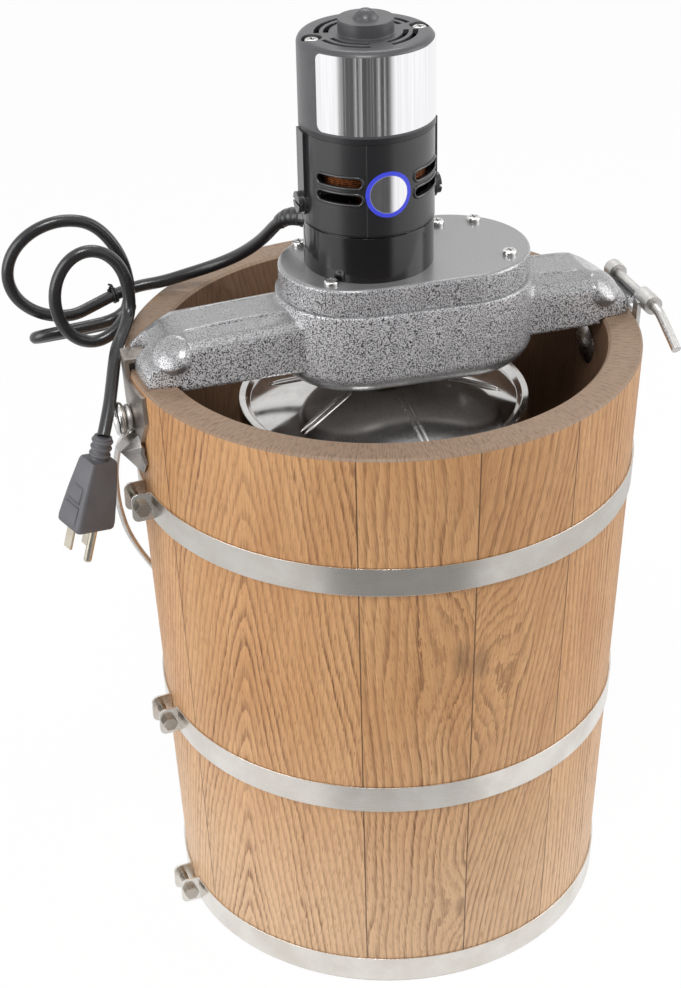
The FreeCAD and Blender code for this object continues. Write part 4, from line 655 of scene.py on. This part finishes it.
def hoop_steel():
    """Drawn band steel: scratches run round the hoop."""
    metal = Surface("hoop_steel", {"Metallic": 1.0})
    _, bearing, z = metal.polar()
    run = metal.join(metal.math("MULTIPLY", bearing, 0.05), metal.math("MULTIPLY", z, 2.6), 0.0)
    brushed = metal.noise(run, 1.0, 3.0, 0.65)
    stain = metal.noise(metal.place, 0.035, 4.0, 0.6)
    metal.set({
        "Base Color": metal.mix(metal.span(stain, 0.3, 0.7), srgb(215, 209, 201), srgb(229, 225, 219)),
        "Roughness": metal.math("ADD", metal.span(brushed, 0.3, 0.7, 0.17, 0.25),
                                metal.span(stain, 0.35, 0.65, 0.06, 0.0)),
        "Normal": metal.bump(brushed, 0.006, metal.soft_edges(0.35)),
    })
    return metal


hoop_steel().give("hoop_top", "hoop_middle", "hoop_bottom")
steel("screw_steel", srgb(222, 221, 219), 0.2, (0.8, 0.8, 0.8)).give("cover_screws", "cap_screws", "bracket_nuts")
steel("bolt_steel", srgb(180, 172, 162), 0.3, (0.8, 0.8, 0.8)).give("hoop_bolts", "hoop_nuts")
steel("head_steel", srgb(190, 186, 184), 0.24, (0.4, 0.4, 0.4)).give("bracket_bolts")
steel("keeper_steel", srgb(176, 168, 160), 0.32, (0.3, 0.3, 1.4)).give("left_bracket")
steel("latch_steel", srgb(210, 208, 205), 0.28, (0.9, 0.2, 0.9)).give("right_bracket", "latch_rod")
steel("bail_steel", srgb(214, 212, 210), 0.4, (0.9, 0.9, 0.9)).give("bail")
steel("gear_steel", srgb(150, 148, 145), 0.35, (0.6, 0.6, 0.6)).give(
    "gear_plate", "reduction_arbor", "reduction_wheel", "reduction_pinion", "motor_pinion", "output_gear",
    "armature_shaft", "armature_core", "stator", "motor_bearings")
steel("bronze", srgb(190, 150, 96), 0.36, (0.6, 0.6, 0.6)).give("output_bush")
steel("cast_aluminium", srgb(176, 177, 178), 0.42, (0.5, 0.5, 0.5)).give("dasher")
steel("can_steel", srgb(208, 207, 206), 0.16, (0.4, 0.4, 2.0)).give("can_body", "can_pivot")
steel("contact_metal", srgb(216, 208, 192), 0.2, (0.3, 0.3, 0.3), edge=0.15).give("plug_blades", "plug_ground")


def lid_steel():
    """Polished sheet: fine turning marks round the can's axis and a few smears."""
    metal = Surface("lid_steel", {"Metallic": 1.0})
    radius, bearing, _ = metal.polar()
    marks = metal.noise(metal.join(metal.math("MULTIPLY", radius, 3.0), metal.math("MULTIPLY", bearing, 0.02), 0.0),
                        1.0, 2.0)
    smear = metal.noise(metal.place, 0.05, 4.0, 0.65)
    metal.set({
        "Base Color": metal.mix(metal.span(smear, 0.35, 0.65), srgb(192, 190, 188), srgb(208, 206, 204)),
        "Roughness": metal.span(smear, 0.35, 0.70, 0.08, 0.13),
        "Normal": metal.bump(marks, 0.004, metal.soft_edges(0.5)),
    })
    return metal


lid_steel().give("can_lid")

LID_CONE_FOOT = (80.0, 343.0)
LID_CONE_HEAD = (21.0, 359.0)
RIB_BEARINGS = (-151.0, -88.0, -18.0, 36.0, 97.0, 153.0)
RIB_INNER, RIB_OUTER = 27.0, 70.0
RIB_WIRE = 1.15
RIB_ASIDE = 1.7
RIB_STEPS = 16


def make_lid_ribs():
    """Pressed ribs of the can's lid: pairs of fine beads that run out along the cone."""
    rise = (LID_CONE_HEAD[1] - LID_CONE_FOOT[1]) / (LID_CONE_FOOT[0] - LID_CONE_HEAD[0])
    beads = []
    for bearing in RIB_BEARINGS:
        turn = math.radians(bearing)
        out = Vector((math.cos(turn), math.sin(turn), 0.0))
        aside = Vector((-out.y, out.x, 0.0))
        for side in (-1, 1):
            path = []
            radii = []
            for step in range(RIB_STEPS + 1):
                share = step / RIB_STEPS
                radius = RIB_INNER + (RIB_OUTER - RIB_INNER) * share
                z = LID_CONE_FOOT[1] + (LID_CONE_FOOT[0] - radius) * rise
                path.append(out * radius + aside * (side * RIB_ASIDE) + Vector((0.0, 0.0, z)))
                radii.append(RIB_WIRE * min(1.0, 0.15 + 6 * share, 0.15 + 6 * (1 - share)))
            beads.append(swept(path, radii, 8))
    ribs = piece("lid_ribs", joined("lid_ribs", beads), "can")
    ribs.data.materials.append(steel("rib_steel", srgb(210, 208, 206), 0.2, (0.05, 0.05, 0.05)).material)


make_lid_ribs()


def copper_wire():
    """Lacquered copper with turns that show as fine ridges."""
    wire = Surface("copper_wire", {"Metallic": 0.9})
    _, _, z = wire.axes(wire.place)
    turns = wire.math("SINE", wire.math("MULTIPLY", z, 6.0))
    wire.set({
        "Base Color": wire.mix(wire.span(wire.noise(wire.place, 0.5, 3.0), 0.3, 0.7),
                               srgb(104, 58, 32), srgb(160, 96, 56)),
        "Roughness": wire.span(wire.noise(wire.place, 1.5, 2.0), 0.3, 0.7, 0.25, 0.45),
        "Normal": wire.bump(turns, 0.25),
    })
    return wire


copper_wire().give("field_windings", "commutator")


# paint
def hammered(name, sides, level, edge, depth=0.09):
    """Grey hammered paint: dark worm-like pits between light grains under a gloss. Faces that look up are smoother, and
    their greys are painted evener, a painted reflection of the sky in the gloss. Underneath, the curved lower edge is
    painted dark as shade and the flat underside painted pale as light. Sides and level are the greys of pit and grain
    on upright and on level faces."""
    paint = Surface(name, {"Metallic": 0.1, "Coat Weight": 1.0, "Coat IOR": 1.8, "Coat Roughness": 0.19})
    worms = paint.noise(paint.place, 1.45, 1.0, 0.5)
    fine = paint.noise(paint.place, 3.6, 1.0)
    field = paint.math("ADD", paint.math("MULTIPLY", worms, 0.78), paint.math("MULTIPLY", fine, 0.22))
    grains = paint.span(field, 0.43, 0.53)
    facing = paint.normal()[2]
    # painted reflection: faces that look up get evener greys of pit and grain, standing for the gloss mirroring the sky
    lying = paint.span(facing, 0.30, 0.88)
    pit, grain = (paint.mix(lying, srgb(upright, upright, upright + 3), srgb(flat, flat, flat + 1))
                  for upright, flat in zip(sides, level))
    # painted light and shade underneath: the curved lower edge goes dark as shade, the flat underside pale as light
    # that the lid mirrors
    below = paint.mix(paint.span(facing, -0.98, -0.85), srgb(188, 185, 182), srgb(84, 83, 84))
    under = paint.span(facing, -0.35, 0.03, 0.85, 0.0)
    pit, grain = (paint.mix(under, tone, below) for tone in (pit, grain))
    rough = paint.bump(paint.math("MULTIPLY", grains, paint.span(facing, 0.1, 0.55, 1.0, 0.1)), depth,
                       paint.soft_edges(edge))
    paint.set({
        "Base Color": paint.mix(grains, pit, grain),
        "Roughness": paint.span(grains, 0.0, 1.0, 0.5, 0.32),
        "Normal": rough,
        "Coat Normal": rough,
    })
    return paint


hammered("hammered_paint", (14, 212), (82, 136), 3.2).give("gear_frame")
hammered("cover_paint", (16, 184), (104, 124), 1.2).give("gear_cover")

BOSS_PLACE = (133.0, -21.0, 404.0)
BOSS_FACING = (0.46, -0.50, 0.735)
BOSS_PROFILE = ((0.0, 1.9), (3.0, 1.75), (6.0, 1.2), (8.5, 0.5), (10.2, -0.2), (11.0, -0.9), (11.4, -2.0), (11.5, -7.0))
BOSS_SIDES = 36
BOSS_TIP = 0.05
# a crest's height falls from its start along the arm
CREST_TOP, CREST_FALL = 416.0, 3.7
CREST_FROM, CREST_RUN = 26.0, 97.0
CREST_ASIDE = 12.0
CREST_ROD, CREST_SUNK = 1.6, 0.9
CREST_STEPS = 14
CREST_STRETCHES = ((-119.0, -64.0), (91.0, 119.0))


def make_arm_details():
    """Raised round bosses on the arms' slopes and the fine crests along their tops."""
    bosses = []
    for hand_x in (-1, 1):
        middle = Vector((hand_x * BOSS_PLACE[0], BOSS_PLACE[1], BOSS_PLACE[2]))
        facing = Vector((hand_x * BOSS_FACING[0], BOSS_FACING[1], BOSS_FACING[2])).normalized()
        aside = facing.cross(Vector((0, 0, 1))).normalized()
        rise = aside.cross(facing)
        turns = [2 * math.pi * side / BOSS_SIDES for side in range(BOSS_SIDES)]
        rings = [[middle + facing * height + (aside * math.cos(turn) + rise * math.sin(turn)) * max(radius, BOSS_TIP)
                  for turn in turns] for radius, height in BOSS_PROFILE]
        bosses.append(lofted(rings))
    crests = []
    for start, end in CREST_STRETCHES:
        for hand in (-1, 1):
            path = []
            radii = []
            for step in range(CREST_STEPS + 1):
                share = step / CREST_STEPS
                x = start + (end - start) * share
                z = CREST_TOP - CREST_FALL * (abs(x) - CREST_FROM) / CREST_RUN
                path.append((x, hand * CREST_ASIDE, z - CREST_SUNK))
                radii.append(CREST_ROD * min(1.0, 0.45 + 3 * share, 0.45 + 3 * (1 - share)))
            crests.append(swept(path, radii, 12))
    details = piece("arm_details", joined("arm_details", bosses + crests), "tub")
    details.data.materials.append(hammered("detail_paint", (50, 190), (96, 150), 0.6, 0.05).material)
    smooth_by_angle(details.data, 50.0)


make_arm_details()


# plastics
CAP_FOOT = 3.6
MOULD_LINES = ((-109.4, -108.8), (70.6, 71.2))
MOULD_LINE_SOFT = 0.3


def plastic(name, colour, roughness, grain=0.05, coat=0.0, edge=0.5, foot=None):
    """Moulded plastic with a fine spark texture and faint unevenness of tone. A foot, given as (height, colour), has
    another colour below a height."""
    moulded = Surface(name, {"Coat Weight": coat, "Coat Roughness": 0.06})
    fine = moulded.noise(moulded.place, 3.2, 2.0, 0.6)
    broad = moulded.noise(moulded.place, 0.07, 3.0)
    tone = moulded.mix(moulded.span(broad, 0.3, 0.7), tuple(value * 0.86 for value in colour), colour)
    if foot:
        tone = moulded.mix(moulded.span(moulded.axes(moulded.place)[2], foot[0] - 0.3, foot[0]), foot[1], tone)
    moulded.set({
        "Base Color": tone,
        "Roughness": moulded.span(fine, 0.3, 0.7, roughness - 0.05, roughness + 0.05),
        "Normal": moulded.bump(fine, grain, moulded.soft_edges(edge)),
    })
    return moulded


def middle_plastic():
    """The vented shell: satin black with a mould line on either side."""
    moulded = Surface("middle_plastic", {"Coat Weight": 0.5, "Coat Roughness": 0.14})
    _, bearing, z = moulded.polar(MOTOR_X)
    fine = moulded.noise(moulded.place, 2.4, 2.0, 0.6)
    line = moulded.math("MAXIMUM", *(moulded.band(bearing, low, high, MOULD_LINE_SOFT) for low, high in MOULD_LINES))
    rim = moulded.span(z, MIDDLE_BASE + 0.3, MIDDLE_BASE + 1.1, 1.0, 0.0)
    dark = moulded.math("MAXIMUM", line, rim)
    moulded.set({
        "Base Color": moulded.mix(dark, srgb(24, 24, 27), srgb(9, 9, 10)),
        "Roughness": moulded.span(fine, 0.3, 0.7, 0.34, 0.46),
        "Normal": moulded.bump(moulded.math("SUBTRACT", moulded.math("MULTIPLY", fine, 0.15), dark), 0.2,
                               moulded.soft_edges(0.6)),
    })
    return moulded


def foil(name, ring=None):
    """Bright foil with faint upright waves. A ring of blue may run round its middle, given as (bearing, z, inner
    radius)."""
    sheet = Surface(name, {})
    waves = sheet.noise(sheet.vector("MULTIPLY", sheet.place, (0.8, 0.8, 0.012)), 1.0, 2.0)
    clouds = sheet.noise(sheet.place, 0.2, 2.0)
    colour = sheet.mix(sheet.span(waves, 0.3, 0.7), srgb(238, 237, 239), srgb(250, 249, 251))
    metallic = 1.0
    roughness = sheet.span(clouds, 0.3, 0.7, 0.05, 0.09)
    if ring:
        middle, height, inner = ring
        _, bearing, z = sheet.polar(MOTOR_X)
        along = sheet.math("MULTIPLY", sheet.math("SUBTRACT", bearing, middle),
                           math.radians(1.0) * MOTOR_MIDDLE_RADIUS)
        above = sheet.math("SUBTRACT", z, height)
        away = sheet.math("SQRT", sheet.math("ADD", sheet.math("MULTIPLY", along, along),
                                             sheet.math("MULTIPLY", above, above)))
        printed = sheet.span(away, inner - 0.3, inner + 0.3)
        colour = sheet.mix(printed, colour, srgb(60, 70, 214))
        metallic = sheet.math("SUBTRACT", 1.0, printed)
        roughness = sheet.math("MULTIPLY_ADD", printed, 0.25, roughness)
    sheet.set({"Base Color": colour, "Metallic": metallic, "Roughness": roughness, "Normal": sheet.bump(waves, 0.012)})
    return sheet.material


LABEL_MIDDLE, LABEL_HALF_SWEEP = -79.0, 74.0
LABEL_LOW, LABEL_HIGH = 521.8, 565.8
LABEL_CORNER = 4.0
FOIL_PROUD = 0.15
FOIL_SUNK = 0.9
FOIL_STEP = 1.5
DISC_BEARING, DISC_Z = -90.0, 487.4
DISC_RADIUS, DISC_PRINT = 13.4, 10.9


def foil_patch(name, material, wall, middle, half, low, high, corner, steps):
    """Foil bent round the motor's wall between two heights, half its length to either side of a bearing, with rounded
    corners. A disc is all corner."""
    straight = half - corner
    ends = [half - corner * (1 - math.cos(math.pi / 2 * (step + 0.15) / steps)) for step in range(steps)]
    between = max(1, round(straight / FOIL_STEP))
    places = [-end for end in ends]
    places += [straight * step / between for step in range(-between, between + 1)] if straight else [0.0]
    places += list(reversed(ends))
    rings = []
    for place in places:
        into = max(0.0, abs(place) - straight)
        cut = corner - math.sqrt(max(0.0, corner ** 2 - into ** 2))
        bearing = middle + math.degrees(place / wall)
        rings.append([on_motor(wall + proud, bearing, z) for proud, z in (
            (-FOIL_SUNK, low + cut), (FOIL_PROUD, low + cut), (FOIL_PROUD, high - cut), (-FOIL_SUNK, high - cut))])
    corners, faces = lofted(rings)
    patch = piece(name, shell(name, corners, faces, smooth=False), "tub")
    patch.data.materials.append(material)
    smooth_by_angle(patch.data)


def make_foils():
    """A bare label on the motor's cap and a bare round disc with a blue rim on its vented shell."""
    foil_patch("foil_label", foil("label_foil"), MOTOR_TOP_RADIUS, LABEL_MIDDLE,
               math.radians(LABEL_HALF_SWEEP) * MOTOR_TOP_RADIUS, LABEL_LOW, LABEL_HIGH, LABEL_CORNER, 8)
    foil_patch("foil_disc", foil("disc_foil", (DISC_BEARING, DISC_Z, DISC_PRINT)), MOTOR_MIDDLE_RADIUS, DISC_BEARING,
               DISC_RADIUS, DISC_Z - DISC_RADIUS, DISC_Z + DISC_RADIUS, DISC_RADIUS, 24)


VENT_BEARINGS = (-134.0, -44.0, 46.0, 136.0)
VENT_HEIGHTS = (484.7, 494.4)
VENT_HALF_SWEEP = 22.0
VENT_HALF_HEIGHT = 3.3
LIP_WIRE = 0.85


def make_vent_lips(material):
    """Raised lips round the long holes of the vented shell."""
    end_steps = 8
    straight_steps = 8
    straight = math.radians(VENT_HALF_SWEEP) * MOTOR_MIDDLE_RADIUS - VENT_HALF_HEIGHT
    outline = []
    for side in (1, -1):
        for step in range(straight_steps):
            outline.append((side * straight * (2 * step / straight_steps - 1), -side * VENT_HALF_HEIGHT))
        for step in range(end_steps):
            turn = math.pi * (step / end_steps - 0.5)
            outline.append((side * (straight + VENT_HALF_HEIGHT * math.cos(turn)),
                            side * VENT_HALF_HEIGHT * math.sin(turn)))
    lips = []
    for bearing in VENT_BEARINGS:
        turn = math.radians(bearing)
        for height in VENT_HEIGHTS:
            path = [on_motor(MOTOR_MIDDLE_RADIUS, bearing + math.degrees(along / MOTOR_MIDDLE_RADIUS), height + z)
                    for along, z in outline]
            lips.append(swept(path, LIP_WIRE, 8, True, up=(math.cos(turn), math.sin(turn), 0.0)))
    made = piece("vent_lips", joined("vent_lips", lips), "tub")
    made.data.materials.append(material)


cap_foot = (TOP_BASE + CAP_FOOT, srgb(28, 28, 31))
plastic("cap_plastic", srgb(72, 72, 75), 0.38, 0.012, 0.08, edge=0.8, foot=cap_foot).give("motor_top")
middle = middle_plastic()
middle.give("motor_middle", "brush_caps")
plastic("base_plastic", srgb(20, 19, 20), 0.17, 0.012, 0.4).give("motor_base", "cord_gland", "motor_fan")
plastic("seat_plastic", srgb(226, 224, 214), 0.4).give("pivot_seat")
plastic("carbon", srgb(44, 44, 46), 0.6).give("carbon_brushes")
plug.data.materials.append(plastic("plug_rubber", srgb(94, 93, 97), 0.5, 0.05).material)
cord_rubber = plastic("cord_rubber", srgb(34, 34, 36), 0.3, 0.02, 0.25)
cord.data.materials.append(cord_rubber.material)
make_foils()
make_vent_lips(middle.material)


# pieces on the cord
def cord_line():
    """Points along the cord's spline in millimetres, as Blender gives them for the curve with no bevel."""
    bare = cord.data.copy()
    bare.bevel_depth = 0.0
    holder = bpy.data.objects.new("cord_line", bare)
    mesh = bpy.data.meshes.new_from_object(holder)
    points = [vertex.co / MM for vertex in mesh.vertices]
    bpy.data.objects.remove(holder)
    bpy.data.meshes.remove(mesh)
    bpy.data.curves.remove(bare)
    return points


def stretch(points, start, length, step):
    """Evenly spaced points along a line, from a distance along it."""
    places = []
    wanted = start
    gone = 0.0
    for first, second in zip(points, points[1:]):
        run = (second - first).length
        while gone + run >= wanted and wanted <= start + length + 1e-6:
            places.append(first.lerp(second, (wanted - gone) / run))
            wanted += step
        gone += run
    return places


SLEEVE_START, SLEEVE_LENGTH = 2.6, 27.0
SLEEVE_THICK, SLEEVE_THIN = 6.3, 4.5
SLEEVE_STEP = 0.75
SLEEVE_RING = 6
SLEEVE_GROOVE = 0.75


def make_sleeve(line):
    """The strain relief where the cord leaves the motor: a taper with rings."""
    path = stretch(line, SLEEVE_START, SLEEVE_LENGTH, SLEEVE_STEP)
    radii = []
    for index in range(len(path)):
        share = index / (len(path) - 1)
        groove = SLEEVE_GROOVE if index % SLEEVE_RING in (3, 4) and 0.12 < share < 0.9 else 0.0
        radii.append(SLEEVE_THICK + (SLEEVE_THIN - SLEEVE_THICK) * share - groove * (1 - 0.5 * share))
    radii[-1] = CORD_RADIUS + 0.1
    sleeve = piece("cord_sleeve", joined("cord_sleeve", [swept(path, radii, 24)]), "tub")
    sleeve.data.materials.append(cord_rubber.material)
    smooth_by_angle(sleeve.data, 50.0)


TIE_PLACE = Vector((-138.5, 107.5, 384.5))
TIE_WIRE = 0.7
TIE_TURNS, TIE_STEPS = 2, 48
TIE_HALF_WIDTH = 1.6
# twisted ends: points, rise and turn from one to the next, and the gap between the two
TIE_END_POINTS = 6
TIE_END_RISE, TIE_END_TURN, TIE_END_GAP = 0.7, 0.8, 0.3


def make_tie(line):
    """A thin wire tie wound twice round the cord beside its loops, with its two ends twisted up."""
    index = min(range(len(line)), key=lambda at: (line[at] - TIE_PLACE).length)
    along = (line[index + 1] - line[index - 1]).normalized()
    aside = along.cross(Vector((0, 0, 1))).normalized()
    rise = aside.cross(along)
    radius = CORD_RADIUS + TIE_WIRE
    path = []
    for step in range(TIE_STEPS + 1):
        share = step / TIE_STEPS
        turn = 2 * math.pi * TIE_TURNS * share + math.pi / 2
        sweep = aside * math.cos(turn) + rise * math.sin(turn)
        path.append(line[index] + along * (TIE_HALF_WIDTH * (2 * share - 1)) + sweep * radius)
    ends = []
    for hand in (0.0, math.pi):
        end = []
        for step in range(TIE_END_POINTS):
            turn = hand + TIE_END_TURN * step
            sweep = aside * math.cos(turn) + along * math.sin(turn)
            end.append(line[index] + rise * (radius + TIE_END_RISE * step) + sweep * (TIE_END_GAP + TIE_WIRE))
        ends.append(end)
    tie = piece("cord_tie", joined("cord_tie", [swept(path, TIE_WIRE, 8, up=along)]
                                   + [swept(end, TIE_WIRE, 8, up=aside) for end in ends]), "tub")
    tie.data.materials.append(plastic("tie_plastic", srgb(26, 26, 28), 0.4).material)


line = cord_line()
make_sleeve(line)
make_tie(line)


# bracket leaf
LEAF_STATIONS = ((-18.0, 0.12), (-11.0, 0.9), (-3.5, 1.0))
LEAF_TOP, LEAF_RIDGE, LEAF_FOOT = (-152.8, 350.5), (-165.5, 340.5), (-151.2, 322.5)
LEAF_SHEET = 1.7
LEAF_RIDGE_SHEET = 1.4 * LEAF_SHEET
LEAF_POINT = 0.4


def make_leaf():
    """A bent leaf of sheet steel on the left bracket, drawn to a point in front."""
    rings = []
    wall = (LEAF_TOP[0] + LEAF_FOOT[0]) / 2
    for y, share in LEAF_STATIONS:
        ridge = wall + (LEAF_RIDGE[0] - wall) * share
        spread = LEAF_POINT + (1 - LEAF_POINT) * share
        top = LEAF_RIDGE[1] + (LEAF_TOP[1] - LEAF_RIDGE[1]) * spread
        foot = LEAF_RIDGE[1] + (LEAF_FOOT[1] - LEAF_RIDGE[1]) * spread
        rings.append([Vector(corner) for corner in (
            (LEAF_TOP[0], y, top), (ridge, y, LEAF_RIDGE[1]), (LEAF_FOOT[0], y, foot),
            (LEAF_FOOT[0] + LEAF_SHEET, y, foot + LEAF_SHEET), (ridge + LEAF_RIDGE_SHEET, y, LEAF_RIDGE[1]),
            (LEAF_TOP[0] + LEAF_SHEET, y, top - LEAF_SHEET))])
    leaf = piece("bracket_leaf", joined("bracket_leaf", [lofted(rings)]), "tub")
    leaf.data.materials.append(steel("leaf_steel", srgb(176, 172, 169), 0.3, (0.3, 0.3, 1.4)).material)
    smooth_by_angle(leaf.data, 12.0)


make_leaf()


# Blender takes a curve's box from its shape only once the object is marked as changed after a first pass
bpy.context.view_layer.update()
cord.location = cord.location
bpy.context.view_layer.update()
